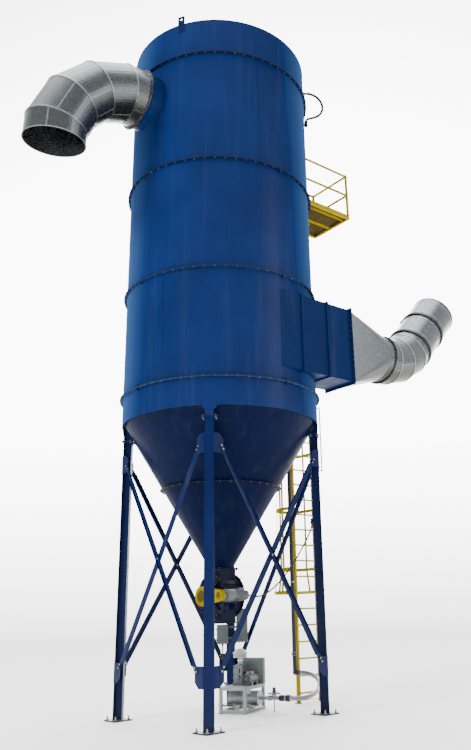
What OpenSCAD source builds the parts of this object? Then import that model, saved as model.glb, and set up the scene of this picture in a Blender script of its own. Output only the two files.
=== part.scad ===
// Cylindrical baghouse dust collector on four braced legs: hopper with rotary
// airlock, tangential inlet, elbowed outlet, cleaning-air blower, caged ladder
// and access platform. Millimetres. Origin on the ground at the shell's axis,
// +Z up. One leg stands on each of -Y, +X, +Y and -X.

/* [Shell] */
// Outer radius of the shell
shell_r = 1829; // [1822:1:1836]
// Thickness of the shell plate
shell_t = 6; // [5:1:8]
// Width of the ring flanges outside the shell
flange_w = 60; // [56:1:64]
// Thickness of each ring flange
flange_t = 8; // [6:1:8]
// Number of bolts round each ring joint
ring_bolts = 60; // [24:12:72]

/* [Levels] */
// Top of the roof edge
z_roof = 12900; // [12860:10:12940]
// Joint between the roof ring and the clean-air section
z_joint_1 = 12100; // [12080:10:12120]
// Joint between the clean-air section and the bag section
z_joint_2 = 9700; // [9680:10:9700]
// Joint between the bag section and the inlet section
z_joint_3 = 7487; // [7480:1:7500]
// Joint between the inlet section and the skirt
z_joint_4 = 5454; // [5440:1:5460]
// Lower edge of the skirt
z_skirt = 4949; // [4940:1:4955]
// Flange half way down the hopper
z_hopper_joint = 3800; // [3700:10:3900]
// Hopper outlet face
z_outlet = 2400; // [2400:1:2401]

/* [Legs] */
// Distance from the axis to the middle of each leg
leg_r = 1745; // [1742:1:1745]
// Depth and width of the leg beams
leg_w = 152; // [150:1:152]
// Side of the square base plates
base_w = 340; // [330:1:350]
// Radius of the anchor bolt holes
anchor_r = 14; // [11:1:16]

/* [Airlock] */
// Length of the rotor's vanes
vane_len = 400; // [390:1:410]
// Number of rotor vanes
vanes = 8; // [6:1:10]
// Teeth of the driven sprocket
driven_teeth = 36; // [32:4:40]
// Teeth of the drive sprocket
drive_teeth = 16; // [14:1:18]

/* [Filters] */
// Outer radius of a filter bag
bag_r = 98; // [90:1:98]
// Lowest point of the bags
z_bag_low = 7260; // [7230:10:7600]

/* [Hidden] */
$fn = 96;

// Colours
blue = [0.05, 0.20, 0.50];
navy = [0.05, 0.10, 0.28];
galv = [0.66, 0.68, 0.70];
yellow = [0.85, 0.68, 0.10];
grey = [0.58, 0.62, 0.64];
steel = [0.45, 0.47, 0.50];
black = [0.08, 0.08, 0.09];
felt = [0.86, 0.84, 0.78];

shell_in = shell_r - shell_t;
flange_r = shell_r + flange_w;
bolt_circle = shell_r + 33;
clip_angles = [45, 135, 225, 315];
leg_angles = [-90, 0, 90, 180];
bay_angles = [-45, 45, 135, 225];

// Hopper: outer radius at a level, and the plate's width in plan
hopper_top_r = 1780;
hopper_low_r = 200;
hopper_w = 7;
z_hopper_top = 5000;
hopper_slope = (hopper_top_r - hopper_low_r) / (z_hopper_top - z_outlet);
function hopper_r(z) = hopper_low_r + hopper_slope * (z - z_outlet);
hopper_flange = 10;
hopper_bolt_r = 1802;
joint_bolt_r = hopper_r(z_hopper_joint) + 28;
joint_bolts = 36;

// Outlet: heading and height of the nozzle, and its elbow
outlet_az = -137.5;
outlet_z = 11400;
outlet_r = 563;
duct_t = 5;
nozzle_reach = 2050;
outlet_bend = 1550;
outlet_roll = -7;

// Inlet: heading of the box; its frame has X along the flow's way out
inlet_az = 42;
inlet_face = 1833;
inlet_w = 744;
inlet_lap = 75;
inlet_z0 = 5744;
inlet_z1 = 7195;
inlet_reach = 1785;
inlet_mid = inlet_face - inlet_w / 2;
inlet_mid_z = 6506;
inlet_r = 468;
transition_len = 1186;
inlet_bend = 1360;
inlet_turn = 47;
duct_len = 1370;
duct_joint = 700;

// Legs and braces
splice_z = 4754;
beam_t = 9;
leg_face = leg_r + leg_w / 2;
plate_t = 12;
base_t = 20;
gusset_t = 8;
joint_gap = 0.05;
wing_y = leg_w / 2 + 3;
bay_plane = (leg_face + gusset_t / 2 + wing_y) / sqrt(2);
brace_w = 90;
brace_t = 5;
brace_lip = 30;
brace_u = 1100;
brace_z0 = 810;
brace_z1 = 4300;
brace_len = sqrt(pow(2 * brace_u, 2) + pow(brace_z1 - brace_z0, 2));
brace_tilt = atan((brace_z1 - brace_z0) / (2 * brace_u));

// Platform and ladder: their frame has X pointing away from the shell
platform_az = 41;
deck_z = 10400;
deck_in = 1911;
deck_out = 3340;
deck_y0 = -480;
deck_y1 = 730;
notch_x = 2700;
notch_y = 300;
rail_h = 1067;
ladder_x0 = 2057;
ladder_x1 = 2657;
ladder_y = 421;
stile_w = 40;
rung_r = 16;
rung_step = 304.8;
rung_z0 = 172;
ladder_top = 11480;
cage_x = (ladder_x0 + ladder_x1) / 2;
cage_y = 767;
cage_r = 345;
hoop_z = [for (k = [0:6]) 2430 + 1190 * k];
flare_z = 1980;

// Airlock: its frame has X along the rotor, towards the chain
lock_az = 225;
lock_z = 1945;
lock_h = z_outlet - lock_z;
bore_r = 290;
drum_r = 320;
drum_h = 215;
end_plate_r = 375;
shaft_r = 30;
fit = 0.05;
drive_y = 480;
chain_x = 395;
chain_w = 12;
driven_r = 138;
drive_r = driven_r * drive_teeth / driven_teeth;

// Blower package: its frame has X along the silencer
skid_x = 296.5;
skid_y = 762.7;
skid_az = -22;
skid_l = 520;
skid_w = 800;
tube_w = 50;
skid_h = 430;
blow_x = -60;
blow_y = 40;
blow_z = 610;
lobe_gap = 55;
motor_x = 165;
motor_z = 545;
belt_y = 285;
belt_w = 26;
blow_pulley_r = 80;
motor_pulley_r = 55;
tank_y = 20;
tank_z = 220;
tank_r = 120;
disc_x = 615;
line_end = 925;

// Free lines, each a list of points along its middle
hose_r = 40;
hose_route = [[1162, 435, 220], [1254, 398, 217], [1350, 392, 218], [1450, 440, 228], [1540, 545, 250],
    [1610, 690, 282], [1655, 840, 322], [1680, 990, 368], [1675, 1130, 416], [1645, 1260, 460],
    [1590, 1380, 497], [1515, 1485, 524], [1425, 1555, 540], [1340, 1580, 545]];
loop_r = 28;
loop_az = 12;
loop_route = [[1900, 0, 12760], [1965, 0, 12768], [2045, 0, 12765], [2125, 0, 12740],
    [2200, 0, 12692], [2262, 0, 12620], [2302, 0, 12535], [2318, 0, 12445], [2308, 0, 12355],
    [2272, 0, 12272], [2212, 0, 12202], [2135, 0, 12152], [2055, 0, 12122], [1995, 0, 12100],
    [1950, 0, 12068], [1928, 0, 12040], [1922, 0, 12010]];
cable_r = 13;
cable_route = [[461, -218, 1945], [500, -178, 1938], [550, -135, 1925], [620, -100, 1915],
    [700, -75, 1925], [800, -55, 1965], [900, -42, 2030], [1000, -33, 2115],
    [1100, -26, 2220], [1200, -20, 2340], [1300, -14, 2475], [1400, -9, 2625],
    [1500, -5, 2790], [1590, -2, 2960], [1637, 0, 3075], [1645, 0, 3180]];
panel_r = 11;
panel_route = [[-130, 1470, 1105], [-130, 1470, 1050], [-129, 1460, 985], [-124, 1425, 910],
    [-116, 1365, 832], [-107, 1290, 755], [-97, 1200, 682], [-86, 1110, 616],
    [-75, 1030, 562], [-64, 950, 520], [-51, 880, 486], [-32, 825, 465], [-6, 788, 455]];

module at_inlet() { rotate([0, 0, inlet_az]) children(); }
module at_outlet() {
    rotate([0, 0, outlet_az]) translate([0, 0, outlet_z]) rotate([outlet_roll, 0, 0]) children();
}
module at_lock() { translate([0, 0, lock_z]) rotate([0, 0, lock_az]) children(); }
module at_skid() { translate([skid_x, skid_y, 0]) rotate([0, 0, skid_az]) children(); }
module at_deck() { rotate([0, 0, platform_az]) children(); }

module box(x0, x1, y0, y1, z0, z1) {
    translate([x0, y0, z0]) cube([x1 - x0, y1 - y0, z1 - z0]);
}
module ring(r_in, r_out, h) {
    rotate_extrude() translate([r_in, 0]) square([r_out - r_in, h]);
}
module tube(r, t, h) { ring(r - t, r, h); }
module x_rod(r, x0, x1) { translate([x0, 0, 0]) rotate([0, 90, 0]) cylinder(r = r, h = x1 - x0); }
module y_rod(r, y0, y1) { translate([0, y0, 0]) rotate([-90, 0, 0]) cylinder(r = r, h = y1 - y0); }
module hex(r, h) { cylinder(r = r, h = h, $fn = 6); }

// Bolt down through a joint whose upper face is at z = 0
module bolt(grip, d) {
    hex(d, 0.7 * d);
    translate([0, 0, -grip - d]) cylinder(r = d / 2, h = grip + d + 1);
    translate([0, 0, -grip - 0.9 * d]) hex(d, 0.9 * d);
}

module bolt_holes(n, r, hole, z, h) {
    for (k = [0:n - 1]) rotate([0, 0, (k + 0.5) * 360 / n]) translate([r, 0, z])
        cylinder(r = hole, h = h, $fn = 24);
}

// Small plates that line up two sections at a joint
module clips(z, dir) {
    for (a = clip_angles) rotate([0, 0, a])
        translate([shell_r - 3, -23, z]) mirror([0, 0, dir > 0 ? 0 : 1]) rotate([90, 0, 0])
            linear_extrude(12) polygon([[0, 0], [48, 0], [48, 22], [10, 75], [0, 75]]);
}

// A shell section with a flange at each end
module section(z0, z1, low = true, high = true) {
    difference() {
        union() {
            rotate_extrude() union() {
                translate([shell_in, z0]) square([shell_t, z1 - z0]);
                if (low) translate([shell_in, z0]) square([flange_r - shell_in, flange_t]);
                if (high) translate([shell_in, z1 - flange_t]) square([flange_r - shell_in, flange_t]);
            }
            if (low) clips(z0, 1);
            if (high) clips(z1, -1);
        }
        if (low) bolt_holes(ring_bolts, bolt_circle, 7, z0 - 1, flange_t + 2);
        if (high) bolt_holes(ring_bolts, bolt_circle, 7, z1 - flange_t - 1, flange_t + 2);
    }
}

lug_az = [-109, 71];
module plenum_top() color(blue) {
    section(z_joint_1, z_roof, true, false);
    for (a = lug_az) rotate([0, 0, a]) difference() {
        box(shell_r - 3, shell_r + 14, -70, 70, z_roof - 170, z_roof + 190);
        translate([0, 0, z_roof + 120]) x_rod(28, shell_r - 10, shell_r + 20);
    }
    rotate([0, 0, loop_az]) translate([0, 0, 12760]) difference() {
        x_rod(38, shell_r - 3, 1900);
        x_rod(24, shell_in - 10, 1901);
    }
}

module roof_plate() color(blue) difference() {
    translate([0, 0, z_roof]) cylinder(r = shell_r, h = 8);
    translate([0, 0, z_roof - 1]) cylinder(r = 60, h = 10);
    for (a = lug_az) rotate([0, 0, a]) box(shell_r - 4, shell_r + 20, -72, 72, z_roof - 1, z_roof + 9);
}

// Door opening in the clean-air section
door_y0 = -380;
door_y1 = 200;
door_z0 = 10500;
door_z1 = 11900;
door_face = 1915;
door_plate = 10;
hinge_y = door_y1 + 28;
hinge_x = door_face + 12;
hinge_zs = [door_z0 + 150, door_z1 - 230];
module plenum_section() color(blue) {
    difference() {
        union() {
            section(z_joint_2, z_joint_1);
            at_deck() box(1770, door_face, door_y0, door_y1, door_z0, door_z1);
        }
        at_deck() box(1600, door_face + 1, door_y0 + 40, door_y1 - 40, door_z0 + 40, door_z1 - 40);
        cylinder_core(shell_in, z_joint_2 - 1, z_joint_1 + 1);
        at_outlet() x_rod(outlet_r - duct_t, 1500, 2200);
        rotate([0, 0, loop_az]) translate([1922, 0, 11910]) cylinder(r = 24, h = 120);
    }
    rotate([0, 0, loop_az]) difference() {
        union() {
            translate([1922, 0, 11890]) cylinder(r = 38, h = 120);
            translate([0, 0, 11925]) x_rod(22, shell_r - 2, 1922);
        }
        translate([1922, 0, 11910]) cylinder(r = 24, h = 120);
    }
    at_deck() for (z = hinge_zs) {
        translate([hinge_x, hinge_y, z]) cylinder(r = 7, h = 80);
        box(door_face - 30, hinge_x + 3, door_y1 - 2, hinge_y, z - 20, z);
        translate([hinge_x, hinge_y, z - 20]) cylinder(r = 12, h = 20);
    }
}
module cylinder_core(r, z0, z1) { translate([0, 0, z0]) cylinder(r = r, h = z1 - z0); }
module shell_cut(z0, z1) { translate([0, 0, z0]) cylinder(r = shell_r, h = z1 - z0, $fn = 360); }

module access_door() color(blue) at_deck() {
    difference() {
        union() {
            box(door_face + 1, door_face + 1 + door_plate, door_y0, door_y1 - 4, door_z0, door_z1);
            for (z = hinge_zs) {
                box(door_face + 1, door_face + 11, door_y1 - 60, hinge_y, z + 3, z + 77);
                translate([hinge_x, hinge_y, z + 3]) cylinder(r = 13, h = 74);
            }
        }
        for (z = hinge_zs) translate([hinge_x, hinge_y, z - 5]) cylinder(r = 7 + fit, h = 90);
    }
    translate([0, door_y0 + 60, (door_z0 + door_z1) / 2]) {
        x_rod(9, door_face + 11, door_face + 46);
        box(door_face + 46, door_face + 58, -16, 16, -90, 90);
    }
}

module bag_section() color(blue) section(z_joint_3, z_joint_2);

module inlet_section() color(blue) difference() {
    section(z_joint_4, z_joint_3);
    at_inlet() box(inlet_lap, inlet_reach, -inlet_face + 5, -inlet_face + inlet_w - 5,
        inlet_z0 + 5, inlet_z1 - 5);
}

// Skirt with the support ring of the hopper and a beam stub over each leg
module skirt_ring() color(blue) difference() {
    union() {
        section(z_skirt, z_joint_4, false, true);
        translate([0, 0, z_hopper_top + hopper_flange]) ring(1760, shell_in + 1, hopper_flange);
        for (a = leg_angles) rotate([0, 0, a]) {
            translate([leg_r, 0, splice_z + plate_t]) beam(z_hopper_top - splice_z - plate_t - 1);
            box(leg_r - 100, leg_r + 100, -135, 135, splice_z, splice_z + plate_t);
            rotate([90, 0, 90]) translate([0, 0, leg_face]) linear_extrude(shell_r - leg_face)
                polygon([[-140, z_hopper_top - 2], [140, z_hopper_top - 2], [140, z_skirt - 5],
                    [78, z_skirt - 80], [-78, z_skirt - 80], [-140, z_skirt - 5]]);
        }
    }
    bolt_holes(48, hopper_bolt_r, 8, z_hopper_top + hopper_flange - 1, hopper_flange + 2);
    hopper_core(2);
    splice_holes(splice_z - 1, plate_t + 2);
}
module hopper_core(gap) {
    rotate_extrude() polygon([[0, z_outlet], [hopper_low_r + gap, z_outlet],
        [hopper_top_r + gap, z_hopper_top], [hopper_top_r + gap, z_hopper_top + hopper_flange - 0.5],
        [0, z_hopper_top + hopper_flange - 0.5]]);
}
module splice_holes(z, h) {
    for (a = leg_angles) rotate([0, 0, a]) for (s = [-105, 105], q = [-60, 60])
        translate([leg_r + q, s, z]) cylinder(r = 11, h = h, $fn = 24);
}
module beam(h) {
    d = leg_w / 2;
    linear_extrude(h) union() {
        translate([-d, -d]) square([beam_t, leg_w]);
        translate([d - beam_t, -d]) square([beam_t, leg_w]);
        translate([-d, -3.5]) square([leg_w, 7]);
    }
}

module hopper_upper() color(navy) difference() {
    rotate_extrude() union() {
        polygon([[hopper_r(z_hopper_joint) - hopper_w, z_hopper_joint], [hopper_r(z_hopper_joint), z_hopper_joint],
            [hopper_top_r, z_hopper_top], [hopper_top_r - hopper_w, z_hopper_top]]);
        translate([hopper_top_r - hopper_w, z_hopper_top]) square([1822.5 - hopper_top_r + hopper_w, hopper_flange]);
        translate([hopper_r(z_hopper_joint) - hopper_w, z_hopper_joint]) square([52 + hopper_w, flange_t]);
    }
    bolt_holes(48, hopper_bolt_r, 8, z_hopper_top - 1, hopper_flange + 2);
    bolt_holes(joint_bolts, joint_bolt_r, 7, z_hopper_joint - 1, flange_t + 2);
}

module hopper_lower() color(navy) difference() {
    union() {
        rotate_extrude() union() {
            polygon([[hopper_low_r - hopper_w, z_outlet + 12], [hopper_low_r, z_outlet],
                [hopper_r(z_hopper_joint), z_hopper_joint],
                [hopper_r(z_hopper_joint) - hopper_w, z_hopper_joint]]);
            translate([hopper_r(z_hopper_joint) - hopper_w - 5, z_hopper_joint - flange_t])
                square([57 + hopper_w, flange_t]);
        }
        rotate([0, 0, lock_az]) box(-215, 215, -215, 215, z_outlet, z_outlet + 14);
    }
    cylinder_core(hopper_low_r - hopper_w - 1, z_outlet - 1, z_outlet + 30);
    bolt_holes(joint_bolts, joint_bolt_r, 7, z_hopper_joint - flange_t - 1, flange_t + 2);
    rotate([0, 0, lock_az]) corner_holes(197, 8, z_outlet - 1, 16);
}
module corner_holes(d, r, z, h) {
    for (x = [-d, d], y = [-d, d]) translate([x, y, z]) cylinder(r = r, h = h, $fn = 24);
}

// Hex bolts of the ring joints, hopper and airlock
module flange_bolts() color(steel) {
    for (z = [z_joint_1, z_joint_2, z_joint_3, z_joint_4], k = [0:ring_bolts - 1])
        rotate([0, 0, (k + 0.5) * 360 / ring_bolts]) translate([bolt_circle, 0, z + flange_t])
            bolt(2 * flange_t, 12);
    for (k = [0:joint_bolts - 1]) rotate([0, 0, (k + 0.5) * 360 / joint_bolts])
        translate([joint_bolt_r, 0, z_hopper_joint + flange_t]) bolt(2 * flange_t, 12);
    for (k = [0:47]) rotate([0, 0, (k + 0.5) * 7.5])
        translate([hopper_bolt_r, 0, z_hopper_top + 2 * hopper_flange]) bolt(2 * hopper_flange, 12);
    rotate([0, 0, lock_az]) for (x = [-197, 197], y = [-197, 197])
        translate([x, y, z_outlet + 14]) bolt(30, 12);
}

bag_rings = [[520, 8], [960, 16], [1400, 24]];
module each_bag() {
    for (r = bag_rings, k = [0:r[1] - 1]) rotate([0, 0, k * 360 / r[1]]) translate([r[0], 0, 0]) children();
}
sheet_z = z_joint_2 + 12;
sheet_t = 10;
module tubesheet() color(galv) difference() {
    translate([0, 0, sheet_z]) cylinder(r = shell_in - 0.5, h = sheet_t);
    each_bag() translate([0, 0, sheet_z - 1]) cylinder(r = bag_r + 4, h = sheet_t + 2, $fn = 48);
}
module filter_bags() color(felt) each_bag() rotate_extrude($fn = 48) polygon([
    [0, z_bag_low], [bag_r, z_bag_low], [bag_r, sheet_z + sheet_t + joint_gap], [bag_r + 14, sheet_z + sheet_t + joint_gap],
    [bag_r + 14, sheet_z + sheet_t + 6], [bag_r - 3, sheet_z + sheet_t + 6],
    [bag_r - 3, z_bag_low + 4], [0, z_bag_low + 4]]);
module bag_cages() color(galv) each_bag() {
    translate([0, 0, z_bag_low + 6]) cylinder(r = bag_r - 8, h = 8, $fn = 48);
    translate([0, 0, sheet_z + sheet_t - 20]) ring(bag_r - 16, bag_r - 5, 24, $fn = 48);
    for (a = [45:90:315]) rotate([0, 0, a])
        translate([bag_r - 11, 0, z_bag_low + 10]) cylinder(r = 4, h = sheet_z - z_bag_low - 10, $fn = 16);
}

// Rotating manifold that blows down into the bags
arm_z = 9960;
module cleaning_arm() color(galv) {
    translate([0, 0, arm_z - 20]) cylinder(r = 110, h = 160);
    translate([0, 0, arm_z + 100]) cylinder(r = 28, h = 13000 - arm_z - 100);
    for (a = [0, 120, 240]) rotate([0, 0, a]) difference() {
        union() {
            translate([0, 0, arm_z + 50]) x_rod(45, 60, 1560);
            for (r = bag_rings) translate([r[0], 0, arm_z - 60]) cylinder(r = 26, h = 80, $fn = 32);
        }
        for (r = bag_rings) translate([r[0], 0, arm_z - 61]) cylinder(r = 20, h = 60, $fn = 32);
    }
}
module arm_gearmotor() color(grey) {
    translate([0, 0, z_roof + 8]) difference() {
        union() {
            cylinder(r = 190, h = 16);
            cylinder(r = 130, h = 170);
            translate([0, 0, 170]) cylinder(r = 150, h = 20);
            translate([0, 0, 190]) cylinder(r = 95, h = 230);
        }
        translate([0, 0, -1]) cylinder(r = 28 + fit, h = 111);
        for (a = [45:90:315]) rotate([0, 0, a]) translate([165, 0, -1]) cylinder(r = 8, h = 18, $fn = 24);
    }
}

// Round duct bent in the X-Z plane from X towards -Z, made of mitred gores, with a
// flange at its start. Each ring of points lies in one mitre plane.
function bend_ring(bend_r, r, a, stretch, x) = [for (k = [0:63]) let (p = k * 360 / 64,
    d = (bend_r + r * cos(p)) / stretch)
    [x + d * sin(a), r * sin(p), d * cos(a) - bend_r]];
module gored_bend(r, t, bend_r, turn, full, flange) {
    half = turn / (2 * full + 2);
    seams = [for (k = [0:full]) (2 * k + 1) * half];
    s = cos(half);
    points = concat(
        bend_ring(bend_r, r + flange, 0, 1, 0), bend_ring(bend_r, r + flange, 0, 1, 8),
        bend_ring(bend_r, r, 0, 1, 8), [for (a = seams) each bend_ring(bend_r, r, a, s, 0)],
        bend_ring(bend_r, r, turn, 1, 0), bend_ring(bend_r, r - t, turn, 1, 0),
        [for (k = [full:-1:0]) each bend_ring(bend_r, r - t, seams[k], s, 0)],
        bend_ring(bend_r, r - t, 0, 1, 0));
    rings = 2 * full + 8;
    polyhedron(points, [for (k = [0:rings - 1], p = [0:63]) let (q = (p + 1) % 64, n = (k + 1) % rings)
        [k * 64 + p, k * 64 + q, n * 64 + q, n * 64 + p]]);
}

module outlet_nozzle() color(blue) at_outlet() difference() {
    union() {
        x_rod(outlet_r, 1400, nozzle_reach);
        x_rod(outlet_r + 50, nozzle_reach - 10, nozzle_reach);
    }
    x_rod(outlet_r - duct_t, 1390, nozzle_reach + 1);
    rotate([-outlet_roll, 0, 0]) translate([0, 0, -1000]) cylinder(r = shell_r, h = 2000, $fn = 360);
}
module outlet_elbow() color(galv) at_outlet() translate([nozzle_reach, 0, 0]) {
    gored_bend(outlet_r, duct_t, outlet_bend, 90, 3, 45);
}

// Tangential box welded to the shell, with stiffening ribs and an end flange
rib_xs = [495, 1135];
module inlet_box() color(blue) at_inlet() difference() {
    union() {
        box(0, inlet_reach, -inlet_face, -inlet_face + inlet_w, inlet_z0, inlet_z1);
        for (x = rib_xs)
            box(x, x + 45, -inlet_face - 28, -inlet_face + inlet_w, inlet_z0 - 28, inlet_z1 + 28);
        box(inlet_reach - 10, inlet_reach, -inlet_face - 50, -inlet_face + inlet_w + 50,
            inlet_z0 - 50, inlet_z1 + 50);
    }
    box(inlet_lap, inlet_reach + 1, -inlet_face + 5, -inlet_face + inlet_w - 5, inlet_z0 + 5, inlet_z1 - 5);
    shell_cut(inlet_z0 - 100, inlet_z1 + 100);
}

// Square to round
module inlet_transition() color(galv) at_inlet() {
    translate([inlet_reach, -inlet_mid, 0]) difference() {
        union() {
            hull() {
                box(8, 9, -inlet_w / 2, inlet_w / 2, inlet_z0, inlet_z1);
                translate([0, 0, inlet_mid_z]) x_rod(inlet_r, transition_len - 101, transition_len - 100, $fn = 64);
            }
            box(0, 8, -inlet_w / 2 - 50, inlet_w / 2 + 50, inlet_z0 - 50, inlet_z1 + 50);
        }
        hull() {
            box(7, 8, -inlet_w / 2 + 5, inlet_w / 2 - 5, inlet_z0 + 5, inlet_z1 - 5);
            translate([0, 0, inlet_mid_z])
                x_rod(inlet_r - duct_t, transition_len - 100, transition_len - 99, $fn = 64);
        }
        box(-1, 7.5, -inlet_w / 2 + 5, inlet_w / 2 - 5, inlet_z0 + 5, inlet_z1 - 5);
    }
    translate([inlet_reach + transition_len - 100, -inlet_mid, inlet_mid_z]) rotate([0, 90, 0]) {
        tube(inlet_r, duct_t, 100);
        translate([0, 0, 92]) ring(inlet_r - 1, inlet_r + 35, 8);
    }
}
module at_inlet_bend() {
    at_inlet() translate([inlet_reach + transition_len, -inlet_mid, inlet_mid_z]) children();
}
module inlet_elbow() color(galv) at_inlet_bend() rotate([180, 0, 0]) {
    gored_bend(inlet_r, duct_t, inlet_bend, inlet_turn, 2, 35);
}
module inlet_duct() color(galv) at_inlet_bend()
    translate([inlet_bend * sin(inlet_turn), 0, inlet_bend * (1 - cos(inlet_turn))])
    rotate([0, 90 - inlet_turn, 0]) {
        tube(inlet_r, duct_t, duct_len);
        for (s = [2, duct_joint - 22]) translate([0, 0, s]) ring(inlet_r - 1, inlet_r + 30, 44);
        translate([0, 0, duct_len - 14]) ring(inlet_r - 1, inlet_r + 9, 14);
    }

module leg(a) color(blue) rotate([0, 0, a]) {
    translate([leg_r, 0, base_t - 1]) beam(splice_z - base_t - plate_t + 2);
    difference() {
        box(leg_r - 100, leg_r + 100, -135, 135, splice_z - plate_t, splice_z);
        for (s = [-105, 105], q = [-60, 60]) translate([leg_r + q, s, splice_z - plate_t - 1])
            cylinder(r = 11, h = plate_t + 2, $fn = 24);
    }
    translate([leg_r, 0, 0]) rotate([0, 0, 45]) difference() {
        box(-base_w / 2, base_w / 2, -base_w / 2, base_w / 2, 0, base_t);
        corner_holes(180 / sqrt(2), anchor_r, -1, base_t + 2);
    }
}
module leg_front() { leg(leg_angles[0]); }
module leg_right() {
    leg(leg_angles[1]);
    color(blue) box(leg_r - leg_w / 2 - 40, leg_r - leg_w / 2 + 2, -16, 16, 3180, 3230);
}
module leg_back() { leg(leg_angles[2]); }
module leg_left() { leg(leg_angles[3]); }

// Bent plate on a leg's outer face, with a wing in each neighbouring bay
module gusset(z0, z1, cut) {
    wing = 200;
    box(leg_face, leg_face + gusset_t, -wing_y - 2, wing_y + 2, z0, z1);
    for (s = [-1, 1]) mirror([0, s > 0 ? 0 : 1, 0]) translate([leg_face + gusset_t / 2, wing_y, 0])
        rotate([0, 0, 135]) rotate([90, 0, 0]) translate([0, 0, -gusset_t / 2 + joint_gap])
            linear_extrude(gusset_t - 2 * joint_gap) polygon(cut > 0
                ? [[0, z0], [wing - 90, z0], [wing, z0 + 90], [wing, z1], [0, z1]]
                : [[0, z0], [wing, z0], [wing, z1 - 90], [wing - 90, z1], [0, z1]]);
}
module gusset_plates() color(blue) difference() {
    for (a = leg_angles) rotate([0, 0, a]) {
        gusset(4150, 4480, -1);
        gusset(600, 915, 1);
    }
    for (a = bay_angles, s = [-1, 1], q = [30, 95]) brace_bolt_at(a, s, q) cylinder(r = 10, h = 60, center = true, $fn = 24);
}
// Frame of a bay: X along it, Y outwards, Z up; then along one brace of the bay
module at_bay(a) { rotate([0, 0, a - 90]) translate([0, bay_plane, 0]) children(); }
module brace_bolt_at(a, s, q) {
    for (e = [-1, 1]) at_bay(a) translate([0, 0, (brace_z0 + brace_z1) / 2]) mirror([s > 0 ? 0 : 1, 0, 0])
        rotate([0, -brace_tilt, 0]) translate([e * (brace_len / 2 - q), 0, 0]) rotate([90, 0, 0]) children();
}
module brace(s) {
    y0 = s > 0 ? gusset_t / 2 : -gusset_t / 2 - brace_t;
    y1 = s > 0 ? gusset_t / 2 : -gusset_t / 2 - brace_lip;
    l = brace_len / 2;
    translate([0, 0, (brace_z0 + brace_z1) / 2]) mirror([s > 0 ? 0 : 1, 0, 0]) rotate([0, -brace_tilt, 0]) {
        box(-l, l, y0, y0 + brace_t, -brace_w / 2, brace_w / 2);
        for (z = [-brace_w / 2, brace_w / 2 - brace_t])
            box(-l + 150, l - 150, y1, y1 + brace_lip, z, z + brace_t);
    }
}
module cross_braces() color(blue) difference() {
    for (a = bay_angles, s = [-1, 1]) at_bay(a) brace(s);
    for (a = bay_angles, s = [-1, 1], q = [30, 95]) brace_bolt_at(a, s, q)
        cylinder(r = 10, h = 60, center = true, $fn = 24);
    for (a = bay_angles) at_bay(a) translate([0, 0, (brace_z0 + brace_z1) / 2]) rotate([90, 0, 0])
        cylinder(r = 10, h = 120, center = true, $fn = 24);
}
module frame_bolts() color(galv) {
    for (a = leg_angles) rotate([0, 0, a]) for (s = [-105, 105], q = [-60, 60])
        translate([leg_r + q, s, splice_z + plate_t]) bolt(2 * plate_t, 20);
    for (a = bay_angles, s = [-1, 1], q = [30, 95]) brace_bolt_at(a, s, q)
        translate([0, 0, s > 0 ? -gusset_t / 2 : gusset_t / 2 + brace_t]) mirror([0, 0, s > 0 ? 1 : 0])
            translate([0, 0, s > 0 ? brace_t : 0]) bolt(gusset_t + brace_t, 18);
    for (a = bay_angles) at_bay(a) translate([0, gusset_t / 2 + brace_t, (brace_z0 + brace_z1) / 2])
        rotate([-90, 0, 0]) {
            bolt(gusset_t + 2 * brace_t, 18);
            translate([0, 0, -brace_t - gusset_t]) ring(9.5, 28, gusset_t);
        }
}

module ladder() color(yellow) at_deck() {
    for (x = [ladder_x0, ladder_x1], s = [x == ladder_x0 ? 1 : -1]) {
        translate([x, ladder_y, 8]) {
            box(-4, 4, -38, 38, 0, ladder_top - 8);
            for (y = [-38, 32]) box(s > 0 ? 0 : -stile_w, s > 0 ? stile_w : 0, y, y + 6, 0, ladder_top - 8);
        }
        box(x - 50, x + 50, ladder_y - 60, ladder_y + 60, 0, 10);
    }
    for (k = [0:36]) translate([0, ladder_y, rung_z0 + k * rung_step])
        x_rod(rung_r, ladder_x0 - 2, ladder_x1 + 2, $fn = 24);
    difference() {
        for (z = [5900, 8000, 10100])
            box(shell_r - 70, ladder_x0 - 3, ladder_y + 20, ladder_y + 28, z, z + 60);
        shell_cut(5800, 10300);
    }
    box(ladder_x0, ladder_x1, ladder_y - 20, ladder_y + 20, 40, 50);
}

// Flat hoop round the climbing space, and the straps that join the hoops
module hoop_outline(r, grow) {
    union() {
        translate([cage_x, cage_y]) circle(r = r + grow);
        translate([cage_x - r - grow, ladder_y + 30]) square([2 * (r + grow), cage_y - ladder_y - 30]);
    }
}
module hoop(z, r, h) {
    translate([0, 0, z]) {
        linear_extrude(h) difference() {
            hoop_outline(r, 0);
            hoop_outline(r, -6);
            translate([cage_x - r + 6, cage_y - r - 10]) square([2 * r - 12, ladder_y + 60 + r - cage_y]);
        }
        for (s = [-1, 1]) box(s > 0 ? ladder_x1 + 28.3 : cage_x - r, s > 0 ? cage_x + r : ladder_x0 - 28.3,
            ladder_y + 24, ladder_y + 30, 0, h);
        for (s = [-1, 1]) box(s > 0 ? ladder_x1 + 4.3 : ladder_x0 - 28.3,
            s > 0 ? ladder_x1 + 28.3 : ladder_x0 - 4.3, ladder_y + 24, ladder_y + 30, 0, h);
    }
}
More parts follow.
